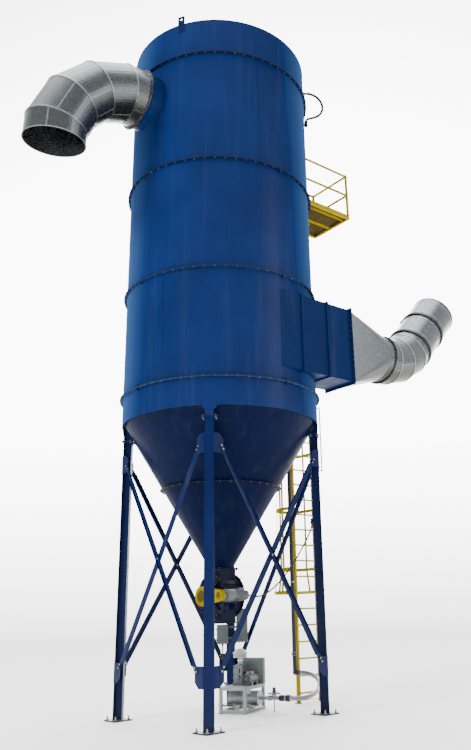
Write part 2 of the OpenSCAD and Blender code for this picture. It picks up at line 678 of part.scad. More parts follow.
module ladder_cage() color(yellow) at_deck() {
    for (z = hoop_z) hoop(z, cage_r, 60);
    hoop(flare_z, cage_r + 70, 60);
    for (a = [0:45:180]) translate([cage_x, cage_y, 0]) rotate([0, 0, a])
        box(cage_r - 10, cage_r - 5.5, -25, 25, 2440, 9620);
    for (a = [0:45:180]) translate([cage_x, cage_y, 0]) rotate([0, 0, a])
        rotate([90, 0, 0]) translate([0, 0, -25]) linear_extrude(50) polygon([[cage_r + 60, flare_z + 10],
            [cage_r + 67, flare_z + 10], [cage_r - 5.5, 2450], [cage_r - 10, 2450]]);
}

// Deck frame of channels with arms to the shell
frame_h = 105;
module deck_plan(inset) {
    difference() {
        translate([deck_in - 200, deck_y0 + inset]) square([deck_out - deck_in + 200 - inset, deck_y1 - deck_y0 - 2 * inset]);
        translate([deck_in - 210, notch_y - inset]) square([notch_x - deck_in + 210 + inset, 600]);
        circle(r = deck_in + inset, $fn = 360);
    }
}
module platform() color(yellow) at_deck() {
    translate([0, 0, deck_z - frame_h]) linear_extrude(frame_h) difference() {
        deck_plan(0);
        deck_plan(8);
    }
    translate([0, 0, deck_z - frame_h]) linear_extrude(6) difference() {
        deck_plan(0);
        deck_plan(45);
    }
    difference() {
        for (y = [-300, 180]) box(shell_r - 50, deck_out - 8, y, y + 8, deck_z - 95, deck_z - 32);
        shell_cut(deck_z - 200, deck_z);
    }
}
module platform_grating() color(yellow) at_deck() translate([0, 0, deck_z - 32]) linear_extrude(30) deck_plan(9);

post_r = 30;
rail_r = 27;
posts = [[1975, -456], [3316, -456], [3316, 706], [2724, 706]];
module guardrail() color(yellow) at_deck() {
    for (p = posts) translate([p[0], p[1], deck_z]) cylinder(r = post_r, h = rail_h + 8, $fn = 32);
    for (z = [deck_z + rail_h - 20, deck_z + rail_h / 2]) {
        translate([0, posts[0][1], z]) x_rod(rail_r, posts[0][0], posts[1][0], $fn = 32);
        translate([posts[1][0], 0, z]) y_rod(rail_r, posts[1][1], posts[2][1], $fn = 32);
        translate([0, posts[2][1], z]) x_rod(rail_r, posts[3][0], posts[2][0], $fn = 32);
    }
}

// Cleaning-air riser beside the ladder
riser = [1235, 1580];
riser_top = 11100;
riser_low = 545;
module riser_pipe() color(black) {
    difference() {
        union() {
            translate([riser[0], riser[1], riser_low + 15]) cylinder(r = 40, h = riser_top - riser_low - 15, $fn = 48);
            translate([riser[0], riser[1], riser_low + 305]) cylinder(r = 52, h = 60, $fn = 48);
            translate([riser[0], riser[1], riser_low + 5]) sphere(r = 46, $fn = 48);
            translate([riser[0], riser[1], riser_low]) {
                x_rod(40, 0, 105, $fn = 48);
                x_rod(52, 70, 105, $fn = 48);
            }
            for (z = [3600, 6700, 9300]) translate([riser[0], riser[1], z]) cylinder(r = 52, h = 60, $fn = 48);
            translate([riser[0], riser[1], riser_top]) sphere(r = 46, $fn = 48);
            rotate([0, 0, 52]) translate([0, 0, riser_top]) x_rod(36, shell_r - 40, 2000, $fn = 48);
        }
        translate([riser[0], riser[1], riser_low]) x_rod(24, 60, 106, $fn = 48);
        shell_cut(riser_top - 200, riser_top + 200);
    }
}
module pressure_tube() color(galv) {
    translate([1875, 24, 4090]) cylinder(r = 12, h = 1230, $fn = 32);
    translate([0, 24, 5300]) x_rod(11, shell_r + 0.5, 1880, $fn = 32);
    translate([0, 24, 4105]) x_rod(11, leg_face + 0.5, 1880, $fn = 32);
}

// Airlock casting: drum along X with a square throat above and below
module airlock_housing() color(navy) at_lock() difference() {
    union() {
        x_rod(drum_r, -drum_h, drum_h);
        box(-180, 180, -180, 180, -lock_h, lock_h);
        for (z = [-lock_h, lock_h - 16]) box(-215, 215, -215, 215, z, z + 16);
        for (x = [-170, 158]) x_rod(drum_r + 16, x, x + 12);
        for (a = [-36, -12, 12, 36], s = [0, 180]) rotate([a + s, 0, 0])
            box(-165, 165, drum_r - 3, drum_r + 13, -5, 5);
    }
    x_rod(bore_r, -drum_h - 1, drum_h + 1);
    box(-150, 150, -150, 150, -lock_h - 1, lock_h + 1);
    corner_holes(197, 8, lock_h - 17, 18);
    corner_holes(197, 8, -lock_h - 1, 18);
}
module airlock_end_plates() color(navy) at_lock() difference() {
    union() for (s = [-1, 1]) mirror([s > 0 ? 0 : 1, 0, 0]) {
        x_rod(end_plate_r, drum_h, drum_h + 16);
        x_rod(75, drum_h + 15, drum_h + 75);
        for (a = [0:45:315]) rotate([a, 0, 0]) box(drum_h + 15, drum_h + 40, -6, 6, 60, end_plate_r - 25);
    }
    x_rod(shaft_r + fit, -drum_h - 100, drum_h + 100);
}
module airlock_rotor() color(steel) at_lock() {
    x_rod(60, -vane_len / 2, vane_len / 2);
    x_rod(shaft_r, -drum_h - 90, chain_x + chain_w + 14);
    for (k = [0:vanes - 1]) rotate([(k + 0.5) * 360 / vanes, 0, 0])
        box(-vane_len / 2, vane_len / 2, -5, 5, 50, bore_r - 2);
}
module sprocket(r, teeth, bore) {
    rotate([90, 0, 90]) linear_extrude(chain_w) difference() {
        polygon([for (k = [0:teeth - 1], q = [0, 0.25, 0.5, 0.75]) let (a = (k + q) * 360 / teeth,
            d = q > 0.4 ? r : r - 9) [d * cos(a), d * sin(a)]]);
        circle(r = bore);
    }
}
module driven_sprocket() color(steel) at_lock() translate([chain_x, 0, 0]) sprocket(driven_r, driven_teeth, shaft_r);
module drive_sprocket() color(steel) at_lock() translate([0, drive_y, 0]) {
    translate([chain_x, 0, 0]) sprocket(drive_r, drive_teeth, 19);
    x_rod(20, 280, chain_x + chain_w + 10);
}
// Outline round two circles, the second at X = l, inset so nothing is tangent
module two_rounds(r1, r2, l) {
    s = (r1 - r2) / l;
    c = sqrt(1 - s * s);
    k = 0.4;
    union() {
        circle(r = r1);
        translate([l, 0]) circle(r = r2);
        polygon([[(r1 - k) * s, (r1 - k) * c], [l + (r2 - k) * s, (r2 - k) * c],
            [l + (r2 - k) * s, -(r2 - k) * c], [(r1 - k) * s, -(r1 - k) * c]]);
    }
}
module band(r1, r2, l, t, w) difference() {
    linear_extrude(w) two_rounds(r1 + t, r2 + t, l);
    translate([0, 0, -1]) linear_extrude(w + 2) two_rounds(r1, r2, l);
}
module drive_chain() color(steel) at_lock() translate([chain_x - 2, 0, 0]) rotate([90, 0, 90])
    band(driven_r + 1.5, drive_r + 1.5, drive_y, 14, chain_w + 4);
guard_x0 = 362;
guard_x1 = 448;
guard_r1 = 160;
guard_r2 = 88;
standoff_r = 140;
module chain_guard() color(yellow) at_lock() {
    for (a = [-22.5, 22.5, 157.5]) rotate([a, 0, 0]) translate([0, standoff_r, 0])
        x_rod(9, drum_h + 16, guard_x0 + 2, $fn = 32);
    chain_cover();
}
module chain_cover() difference() {
    translate([guard_x0, 0, 0]) rotate([90, 0, 90]) linear_extrude(guard_x1 - guard_x0) 
        two_rounds(guard_r1, guard_r2, drive_y);
    translate([guard_x0 + 4, 0, 0]) rotate([90, 0, 90]) linear_extrude(guard_x1 - guard_x0 - 8)
        two_rounds(guard_r1 - 4, guard_r2 - 4, drive_y);
    x_rod(46, guard_x0 - 1, guard_x0 + 10);
    translate([0, drive_y, 0]) x_rod(34, guard_x0 - 1, guard_x0 + 10);
}
module airlock_gearmotor() color(grey) at_lock() difference() {
    union() {
        translate([0, drive_y, 0]) {
            x_rod(98, 120, 300);
            x_rod(60, 300, 340);
            x_rod(84, -150, 121);
            x_rod(78, -172, -149);
            box(-90, 20, -45, 45, 70, 118);
            box(140, 280, -80, 80, -110, -60);
        }
        box(60, 205, 290, 590, -122, -108);
        box(60, 72, 290, 480, -240, -110);
    }
    x_rod(drum_r + 16.5, 40, 214);
    translate([0, drive_y, 0]) x_rod(20 + fit, 270, 345);
}

// Control cabinets on a rail across the back leg
cab_y0 = 1400;
cab_y1 = 1540;
cab_l = [-233, -28, 1105, 1445];
cab_r = [140, 350, 1130, 1730];
module control_cabinets() color(grey) {
    for (c = [cab_l, cab_r]) difference() {
        box(c[0], c[1], cab_y0, cab_y1, c[2], c[3]);
        box(c[0] + 3, c[1] - 3, cab_y0 - 1, cab_y1 - 3, c[2] + 3, c[3] - 3);
    }
    for (z = [1180, 1380]) {
        box(cab_l[0] + 10, cab_r[1] - 10, cab_y1, cab_y1 + 12, z, z + 40);
        box(-50, 50, cab_y1 + 11, leg_r - leg_w / 2, z, z + 40);
    }
    for (z = [cab_l[2] + 60, cab_l[3] - 90]) hinge_pin(cab_l[0] - 9, z);
    for (z = [cab_r[2] + 90, cab_r[3] - 120]) hinge_pin(cab_r[1] + 9, z);
}
pin_y = cab_y0 - 10;
module hinge_pin(x, z) {
    translate([x, pin_y, z]) cylinder(r = 4, h = 34, $fn = 24);
    translate([x, pin_y, z - 8]) cylinder(r = 7, h = 8, $fn = 24);
    box(x - (x > 0 ? 8.5 : -2), x + (x > 0 ? -2 : 8.5), pin_y - 3, pin_y + 30, z - 8, z);
    box(x - (x > 0 ? 11 : -2), x + (x > 0 ? -2 : 11), cab_y0 + 0.5, pin_y + 30, z - 8, z);
}
module cabinet_door(c, zs, hx) {
    difference() {
        union() {
            box(c[0] + 1, c[1] - 1, cab_y0 - 16, cab_y0 - 1, c[2], c[3]);
            for (z = zs) {
                translate([hx, pin_y, z + 1]) cylinder(r = 7, h = 30, $fn = 24);
                box(min(hx, hx > 0 ? c[1] - 3 : hx), max(hx, hx > 0 ? hx : c[0] + 3), pin_y - 6, pin_y - 1, z + 1, z + 31);
            }
        }
        for (z = zs) translate([hx, pin_y, z - 2]) cylinder(r = 4 + fit, h = 40, $fn = 24);
        box(c[0] + 4, c[1] - 4, cab_y0 - 13, cab_y0, c[2] + 3, c[3] - 3);
    }
}
module cabinet_door_left() color(grey) {
    cabinet_door(cab_l, [cab_l[2] + 60, cab_l[3] - 90], cab_l[0] - 9);
    translate([cab_l[1] - 25, 0, (cab_l[2] + cab_l[3]) / 2]) y_rod(10, cab_y0 - 34, cab_y0 - 15, $fn = 32);
}
module cabinet_door_right() color(grey) {
    cabinet_door(cab_r, [cab_r[2] + 90, cab_r[3] - 120], cab_r[1] + 9);
    translate([cab_r[0] + 25, 0, (cab_r[2] + cab_r[3]) / 2]) y_rod(10, cab_y0 - 34, cab_y0 - 15, $fn = 32);
}

module blower_skid() color(grey) at_skid() {
    w = skid_w / 2;
    l = skid_l / 2;
    for (x = [-l, l - tube_w], y = [-w, w - tube_w]) box(x, x + tube_w, y, y + tube_w, 0, skid_h - 8);
    for (z = [10, skid_h - 8 - tube_w]) {
        for (x = [-l, l - tube_w]) box(x, x + tube_w, -w + tube_w - 1, w - tube_w + 1, z, z + tube_w);
        for (y = [-w, w - tube_w]) box(-l + tube_w - 1, l - tube_w + 1, y, y + tube_w, z, z + tube_w);
    }
    difference() {
        box(-l, l, -w, w, skid_h - 8, skid_h);
        translate([blow_x, blow_y, 0]) cylinder(r = 46, h = 1000);
    }
    box(l, l + 45, -w + 10, -w + 110, 320, 420);
    box(-l - 30, -l, -120, -60, 430, 480);
    box(-l - 30, -l + 40, -120, -60, 429.5, 433);
}

// Twin-lobe blower with its shafts one above the other
module blower_housing() color(grey) at_skid() translate([blow_x, blow_y, blow_z]) difference() {
    union() {
        box(-88, 88, -95, 95, -145, 145);
        for (s = [-1, 1]) translate([0, 0, s * lobe_gap]) y_rod(97, -94, 94);
        box(-105, 105, -110, 110, -180, -144);
        translate([0, 0, 140]) cylinder(r = 62, h = 30);
        for (s = [-1, 1]) translate([0, 0, s * lobe_gap]) y_rod(40, -130, 118);
    }
    for (s = [-1, 1]) translate([0, 0, s * lobe_gap]) {
        y_rod(74, -75, 75);
        y_rod(14 + fit, -125, 140);
    }
    translate([0, 0, 20]) cylinder(r = 38, h = 200);
    translate([0, 0, -220]) cylinder(r = 38, h = 200);
}
module lobe(turn, y0, y1) {
    rotate([0, turn, 0]) rotate([90, 0, 0]) linear_extrude(140, center = true) union() {
        for (s = [-42, 42]) translate([s, 0]) circle(r = 30, $fn = 48);
        square([84, 50], center = true);
    }
    y_rod(14, y0, y1, $fn = 48);
}
module drive_lobe() color(steel) at_skid() translate([blow_x, blow_y, blow_z + lobe_gap]) {
    lobe(0, -120, belt_y - blow_y + belt_w / 2 + 6);
    translate([0, belt_y - blow_y, 0]) difference() {
        y_rod(blow_pulley_r, -belt_w / 2, belt_w / 2);
        for (a = [0:72:288]) rotate([0, a, 0]) translate([46, 0, 0]) y_rod(16, -20, 20, $fn = 32);
    }
}
module idler_lobe() color(steel) at_skid() translate([blow_x, blow_y, blow_z - lobe_gap]) lobe(90, -120, 112);

module blower_motor() color(grey) at_skid() translate([motor_x, 0, motor_z]) difference() {
    union() {
        y_rod(84, -150, 180);
        y_rod(74, -178, -149);
        y_rod(90, 168, 190);
        box(-50, 50, -70, 40, 70, 112);
        box(-80, 80, -110, -70, skid_h - motor_z, -50);
        box(-80, 80, 90, 130, skid_h - motor_z, -50);
    }
    y_rod(14 + fit, 140, 200);
}
module motor_pulley() color(steel) at_skid() translate([motor_x, 0, motor_z]) {
    y_rod(14, 150, belt_y + belt_w / 2 + 6, $fn = 48);
    translate([0, belt_y, 0]) difference() {
        y_rod(motor_pulley_r, -belt_w / 2, belt_w / 2);
        for (a = [0:90:270]) rotate([0, a, 0]) translate([33, 0, 0]) y_rod(10, -20, 20, $fn = 32);
    }
}
belt_dx = motor_x - blow_x;
belt_dz = motor_z - blow_z - lobe_gap;
module drive_belt() color(black) at_skid() translate([blow_x, belt_y + belt_w / 2 - 2, blow_z + lobe_gap])
    rotate([90, 0, 0]) rotate([0, 0, atan(belt_dz / belt_dx)])
        band(blow_pulley_r + 0.8, motor_pulley_r + 0.8, sqrt(belt_dx * belt_dx + belt_dz * belt_dz), 10, belt_w - 4);
module belt_guard() color(grey) at_skid() difference() {
    box(-190, 300, 246, 336, skid_h, 865);
    box(-187, 297, 249, 333, skid_h + 3, 862);
    translate([blow_x, 0, blow_z + lobe_gap]) y_rod(30, 240, 260);
    translate([motor_x, 0, motor_z]) y_rod(30, 240, 260);
}

module silencer_line() color(galv) at_skid() difference() {
    union() {
        translate([0, tank_y, tank_z]) {
            x_rod(tank_r, -240, 330);
            for (x = [-244, 322]) x_rod(tank_r + 6, x, x + 12);
            x_rod(30, 329, line_end - 60);
            x_rod(44, 500, 560);
            x_rod(48, 730, 790);
            x_rod(56, line_end - 92, line_end);
            translate([disc_x, 0, 0]) cylinder(r = 26, h = 40);
            translate([disc_x, 0, 36]) cylinder(r = 44, h = 34);
            translate([disc_x, 0, 68]) cylinder(r = 108, h = 16);
            translate([disc_x, 0, 83]) cylinder(r = 28, h = 90);
        }
        translate([blow_x, blow_y, tank_z + 80]) cylinder(r = 40, h = skid_h - tank_z - 80);
        translate([disc_x, tank_y, 0]) cylinder(r = 11, h = tank_z - 10);
        translate([disc_x, tank_y, 0]) cylinder(r = 40, h = 6);
        for (x = [-160, 150]) box(x, x + 40, tank_y - 80, tank_y + 80, 0, 140);
    }
    translate([0, tank_y, tank_z]) x_rod(24, line_end - 50, line_end + 1);
}
filter_z = blow_z + 170;
module intake_filter() color(grey) at_skid() translate([blow_x, blow_y, filter_z]) {
    cylinder(r = 36, h = 120);
    translate([0, 0, 40]) cylinder(r = 44, h = 30);
    translate([0, 0, 110]) cylinder(r = 120, h = 60);
    translate([0, 0, 170]) rotate_extrude() polygon([[0, 0], [126, 0], [126, 22], [60, 78], [0, 84]]);
}

// A tube swept along a list of points, with flat ends
function unit(v) = v / norm(v);
function heading(p, k) = unit(p[min(k + 1, len(p) - 1)] - p[max(k - 1, 0)]);
module swept(p, r, sides, ref) {
    n = len(p);
    rings = [for (k = [0:n - 1]) let (d = heading(p, k),
        side = unit(cross(d, ref)), up = cross(side, d))
        for (s = [0:sides - 1]) p[k] + r * (cos(s * 360 / sides) * side + sin(s * 360 / sides) * up)];
    body = [for (k = [0:n - 2], s = [0:sides - 1]) let (t = (s + 1) % sides)
        [k * sides + s, k * sides + t, (k + 1) * sides + t, (k + 1) * sides + s]];
    polyhedron(rings, concat(body, [[for (s = [sides - 1:-1:0]) s]], [[for (s = [0:sides - 1]) (n - 1) * sides + s]]));
}
module blower_hose() color(grey) swept(hose_route, hose_r, 12, [0, 0, 1]);
module loop_hose() color(black) rotate([0, 0, loop_az]) swept(loop_route, loop_r, 12, [0, 1, 0]);
module motor_cable() color(black) swept(cable_route, cable_r, 10, [0, 1, 0]);
module panel_cable() color(black) swept(panel_route, panel_r, 8, [1, 0, 0]);

roof_plate();
plenum_top();
plenum_section();
bag_section();
inlet_section();
skirt_ring();
hopper_upper();
hopper_lower();
flange_bolts();
tubesheet();
filter_bags();
bag_cages();
cleaning_arm();
arm_gearmotor();
access_door();
outlet_nozzle();
outlet_elbow();
inlet_box();
inlet_transition();
inlet_elbow();
inlet_duct();
leg_front();
leg_right();
leg_back();
leg_left();
gusset_plates();
cross_braces();
frame_bolts();
ladder();
ladder_cage();
platform();
platform_grating();
guardrail();
riser_pipe();
pressure_tube();
airlock_housing();
airlock_end_plates();
airlock_rotor();
driven_sprocket();
drive_sprocket();
drive_chain();
chain_guard();
airlock_gearmotor();
control_cabinets();
cabinet_door_left();
cabinet_door_right();
blower_skid();
blower_housing();
drive_lobe();
idler_lobe();
blower_motor();
motor_pulley();
drive_belt();
belt_guard();
silencer_line();
intake_filter();
blower_hose();
loop_hose();
motor_cable();
panel_cable();
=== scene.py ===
import bpy, math
from mathutils import Matrix, Vector


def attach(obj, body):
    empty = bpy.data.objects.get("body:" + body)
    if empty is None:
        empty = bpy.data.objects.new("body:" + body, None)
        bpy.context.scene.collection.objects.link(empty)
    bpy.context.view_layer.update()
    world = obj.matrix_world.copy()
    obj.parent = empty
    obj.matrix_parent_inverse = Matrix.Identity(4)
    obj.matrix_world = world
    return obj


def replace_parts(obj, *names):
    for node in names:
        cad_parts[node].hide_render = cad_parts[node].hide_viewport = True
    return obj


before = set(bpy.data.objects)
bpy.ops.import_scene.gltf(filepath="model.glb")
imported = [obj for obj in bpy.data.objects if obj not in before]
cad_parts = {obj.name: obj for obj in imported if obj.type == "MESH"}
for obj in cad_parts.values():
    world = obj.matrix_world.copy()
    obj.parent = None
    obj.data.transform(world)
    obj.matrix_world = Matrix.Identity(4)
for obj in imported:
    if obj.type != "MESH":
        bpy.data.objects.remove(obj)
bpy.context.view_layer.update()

SCENE = bpy.context.scene
T = Matrix.Translation
I4 = Matrix.Identity(4)

# sizes that several sub-parts share, in metres
SHELL_R = 1.830
ROOF_Z = 12.909
RING_JOINTS = (12.100, 9.700, 7.487, 5.454)
OUTLET_BEND, OUTLET_R = 1.55, 0.563
INLET_BEND, INLET_R, INLET_TURN = 1.36, 0.468, 47
INLET_Y, INLET_Z = -1.461, 6.506
LEG_R = 1.745
DECK_EDGE = 3.328
NOTCH_X, NOTCH_Y = 2.712, 0.291
LADDER_Y = 0.451
RISER_X, RISER_Y = 1.235, 1.580
LOCK_Z = 1.945
SPROCKET_GAP = 0.48


def rot(deg, axis):
    return Matrix.Rotation(math.radians(deg), 4, axis)


# ---------------------------------------------------------------- camera
def make_camera():
    """Camera at eye height, tilted up; the angles are in radians and the place in metres."""
    yaw, pitch, roll = -0.0097, 0.3285, -0.0331
    cy, sy, cp, sp = math.cos(yaw), math.sin(yaw), math.cos(pitch), math.sin(pitch)
    right = Vector((cy, -sy, 0))
    ahead = Vector((sy * cp, cy * cp, sp))
    up = Vector((-sy * sp, -cy * sp, cp))
    r = math.cos(roll) * right + math.sin(roll) * up
    u = -math.sin(roll) * right + math.cos(roll) * up
    data = bpy.data.cameras.new("camera")
    cam = bpy.data.objects.new("camera", data)
    SCENE.collection.objects.link(cam)
    m = Matrix.Identity(4)
    for i in range(3):
        m[i][0] = r[i]
        m[i][1] = u[i]
        m[i][2] = -ahead[i]
    m.translation = (1.4915, -13.9999, 1.6571)
    cam.matrix_world = m
    data.sensor_width = 36.0
    data.lens = 36.356
    data.shift_x = -0.0727
    data.shift_y = -0.0297
    data.clip_start = 0.1
    data.clip_end = 300.0
    data.dof.use_dof = False
    SCENE.camera = cam


make_camera()

# ---------------------------------------------------------------- materials
MATS = {}


def node(t, kind, props=None, ins=None):
    """New shader node; an input that is given a socket is linked, any other gets the value."""
    n = t.nodes.new(kind)
    for k, v in (props or {}).items():
        setattr(n, k, v)
    for k, v in (ins or {}).items():
        if isinstance(v, bpy.types.NodeSocket):
            t.links.new(v, n.inputs[k])
        else:
            n.inputs[k].default_value = v
    return n


def start(name, metallic=0.0, coat=0.0, coat_rough=0.1, sheen=0.0, ior=1.45, gloss=0.5):
    m = bpy.data.materials.new(name)
    m.use_nodes = True
    t = m.node_tree
    t.nodes.clear()
    out = t.nodes.new("ShaderNodeOutputMaterial")
    b = t.nodes.new("ShaderNodeBsdfPrincipled")
    t.links.new(b.outputs[0], out.inputs[0])
    b.inputs["Metallic"].default_value = metallic
    b.inputs["Coat Weight"].default_value = coat
    b.inputs["Coat Roughness"].default_value = coat_rough
    b.inputs["Sheen Weight"].default_value = sheen
    b.inputs["IOR"].default_value = ior
    b.inputs["Specular IOR Level"].default_value = gloss
    pos = t.nodes.new("ShaderNodeTexCoord").outputs["Object"]
    MATS[name] = m
    return t, b, pos


def stretched(t, pos, scale):
    return node(t, "ShaderNodeMapping", None, {"Vector": pos, "Scale": scale}).outputs[0]


def noise(t, pos, scale, detail=3.0, rough=0.55):
    return node(t, "ShaderNodeTexNoise", None,
                {"Vector": pos, "Scale": scale, "Detail": detail, "Roughness": rough}).outputs["Fac"]


def remap(t, fac, a, b, c, d):
    return node(t, "ShaderNodeMapRange", {"clamp": True},
                {"Value": fac, "From Min": a, "From Max": b, "To Min": c, "To Max": d}).outputs[0]


def mix(t, fac, a, b):
    n = node(t, "ShaderNodeMix", {"data_type": "RGBA"})
    for i, v in ((0, fac), (6, a), (7, b)):
        if isinstance(v, bpy.types.NodeSocket):
            t.links.new(v, n.inputs[i])
        else:
            n.inputs[i].default_value = v if i == 0 else (*v, 1.0)
    return n.outputs[2]


def math_node(t, op, a, b):
    return node(t, "ShaderNodeMath", {"operation": op}, {0: a, 1: b}).outputs[0]


def part_of(t, vector, axis):
    """The x, y or z of a vector socket, by axis number."""
    return node(t, "ShaderNodeSeparateXYZ", None, {0: vector}).outputs[axis]


def bump(t, b, *layers):
    normal = None
    for height, strength, distance in layers:
        n = node(t, "ShaderNodeBump", None,
                 {"Height": height, "Strength": strength, "Distance": distance})
        if normal is not None:
            t.links.new(normal, n.inputs["Normal"])
        normal = n.outputs[0]
    t.links.new(normal, b.inputs["Normal"])


def upward(t):
    """How far the surface faces up, from -1 to 1."""
    return part_of(t, t.nodes.new("ShaderNodeNewGeometry").outputs["Normal"], 2)


def shaded(col, k):
    return tuple(min(1, c * k) for c in col)


def paint(name, col, rough, coat, coat_rough, dust, vary=0.16, streak=0.12, wave=0.25, shell=False,
          low=None, gloss=0.14):
    """Painted steel with runs, chips and dust.

    low=(z0, z1, colour, amount) tints it below z0, and less and less up to z1.
    """
    t, b, pos = start(name, 0.0, coat, coat_rough, gloss=gloss)
    dark, light = shaded(col, 1 - vary), shaded(col, 1 + vary)
    c = mix(t, remap(t, noise(t, pos, 0.7, 4), 0.35, 0.65, 0, 1), dark, light)
    c = mix(t, remap(t, noise(t, pos, 55.0, 2), 0.3, 0.7, 0.0, 0.12), c, light)
    runs = noise(t, stretched(t, pos, (7.0, 7.0, 0.3)), 1.0, 6, 0.6)
    c = mix(t, remap(t, runs, 0.52, 0.78, 0.0, streak), c, (0.30, 0.33, 0.36))
    chips = noise(t, pos, 34.0, 8, 0.75)
    c = mix(t, remap(t, chips, 0.76, 0.80, 0.0, 0.5), c, (0.10, 0.09, 0.08))
    settled = math_node(t, "MULTIPLY", remap(t, upward(t), 0.6, 0.98, 0, dust),
                        remap(t, noise(t, pos, 4.0, 5), 0.3, 0.7, 0.4, 1.0))
    c = mix(t, settled, c, (0.46, 0.45, 0.42))
    if low is not None:
        z0, z1, tint, amount = low
        c = mix(t, remap(t, part_of(t, pos, 2), z0, z1, amount, 0.0), c, tint)
    if shell:
        # painted shade: the ring joints, which stand out from the wall, are darkened for the shade under
        # their flanges; painted reflection: the wall's edges are paler
        flat = node(t, "ShaderNodeCombineXYZ", None, {0: part_of(t, pos, 0), 1: part_of(t, pos, 1)})
        radius = node(t, "ShaderNodeVectorMath", {"operation": "LENGTH"}, {0: flat.outputs[0]})
        joint_shade = remap(t, radius.outputs["Value"], SHELL_R + 0.002, SHELL_R + 0.006, 0.0, 0.93)
        c = mix(t, joint_shade, c, (0.004, 0.009, 0.035))
        facing = node(t, "ShaderNodeLayerWeight", None, {"Blend": 0.5}).outputs["Facing"]
        # painted reflection: the base colour turns paler towards the edges, for the bright room that the
        # glossy wall reflects there
        c = mix(t, remap(t, facing, 0.45, 0.95, 0.0, 0.75), c, (0.05, 0.115, 0.26))
        t.links.new(remap(t, facing, 0.15, 0.5, gloss, 0.0), b.inputs["Specular IOR Level"])
        t.links.new(remap(t, facing, 0.15, 0.5, coat, 0.0), b.inputs["Coat Weight"])
    t.links.new(c, b.inputs["Base Color"])
    worn = noise(t, pos, 9.0, 4)
    t.links.new(remap(t, worn, 0.3, 0.7, rough - 0.05, rough + 0.12), b.inputs["Roughness"])
    bump(t, b, (noise(t, pos, 240.0, 2), 0.12, 0.0006), (noise(t, pos, 2.2, 2), wave, 0.006))


def galvanised(name, col, rough, metallic, size=26.0):
    t, b, pos = start(name, metallic)
    v = node(t, "ShaderNodeTexVoronoi", None, {"Vector": pos, "Scale": size, "Randomness": 1.0})
    spangle = node(t, "ShaderNodeSeparateColor", None, {0: v.outputs["Color"]})
    c = mix(t, spangle.outputs[0], shaded(col, 0.96), shaded(col, 1.04))
    c = mix(t, remap(t, noise(t, pos, 1.6, 5), 0.4, 0.7, 0.0, 0.25), c, shaded(col, 0.7))
    runs = noise(t, stretched(t, pos, (9.0, 9.0, 0.6)), 1.0, 6, 0.6)
    c = mix(t, remap(t, runs, 0.55, 0.8, 0.0, 0.12), c, (0.62, 0.63, 0.62))
    # painted shade: undersides are darkened towards brown-black, for the dark ground they would face
    c = mix(t, remap(t, upward(t), -0.75, 0.0, 0.85, 0.0), c, (0.050, 0.046, 0.030))
    t.links.new(c, b.inputs["Base Color"])
    t.links.new(remap(t, spangle.outputs[1], 0, 1, rough - 0.02, rough + 0.05), b.inputs["Roughness"])
    bump(t, b, (spangle.outputs[2], 0.008, 0.0004), (noise(t, pos, 3.0, 3), 0.10, 0.006))


def metal(name, col, rough=0.35, metallic=0.95, scale=(30.0, 30.0, 300.0)):
    t, b, pos = start(name, metallic)
    brushed = noise(t, stretched(t, pos, scale), 1.0, 4)
    c = mix(t, remap(t, brushed, 0.3, 0.7, 0, 1), shaded(col, 0.8), shaded(col, 1.1))
    c = mix(t, remap(t, noise(t, pos, 14.0, 6), 0.5, 0.75, 0.0, 0.25), c, (0.10, 0.08, 0.06))
    t.links.new(c, b.inputs["Base Color"])
    t.links.new(remap(t, brushed, 0.3, 0.7, rough - 0.08, rough + 0.1), b.inputs["Roughness"])
    bump(t, b, (brushed, 0.10, 0.0004), (noise(t, pos, 80.0, 3), 0.08, 0.0006))


def plastic(name, col, rough, dust=0.2, fine=180.0):
    t, b, pos = start(name, ior=1.48)
    patches = remap(t, noise(t, pos, 6.0, 5), 0.35, 0.7, 0, 1)
    c = mix(t, patches, shaded(col, 0.82), shaded(col, 1.15))
    settled = math_node(t, "MULTIPLY", remap(t, upward(t), 0.3, 1.0, 0, dust),
                        remap(t, noise(t, pos, 20.0, 4), 0.3, 0.7, 0.2, 1))
    c = mix(t, settled, c, (0.42, 0.40, 0.37))
    t.links.new(c, b.inputs["Base Color"])
    worn = noise(t, pos, 25.0, 4)
    t.links.new(remap(t, worn, 0.3, 0.7, rough - 0.08, rough + 0.1), b.inputs["Roughness"])
    bump(t, b, (noise(t, pos, fine, 3), 0.2, 0.0005))


def felt_cloth(name, col):
    t, b, pos = start(name, sheen=0.3)
    fibre = noise(t, pos, 260.0, 5, 0.7)
    c = mix(t, remap(t, fibre, 0.3, 0.7, 0, 1), shaded(col, 0.8), col)
    stains = noise(t, stretched(t, pos, (5, 5, 1)), 1.0, 5)
    c = mix(t, remap(t, stains, 0.45, 0.75, 0, 0.5), c, (0.45, 0.36, 0.25))
    t.links.new(c, b.inputs["Base Color"])
    b.inputs["Roughness"].default_value = 0.95
    bump(t, b, (fibre, 0.4, 0.0015))


paint("shell_blue", (0.0042, 0.0160, 0.081), 0.36, 0.10, 0.25, shell=True, dust=0.10, streak=0.025,
      gloss=0.18)
paint("part_blue", (0.0021, 0.0140, 0.070), 0.38, 0.03, 0.25, dust=0.10, streak=0.05, gloss=0.06)
paint("leg_blue", (0.0020, 0.0085, 0.055), 0.40, 0.04, 0.25, dust=0.25, streak=0.05,
      low=(0.0, 0.35, (0.03, 0.035, 0.045), 0.35))
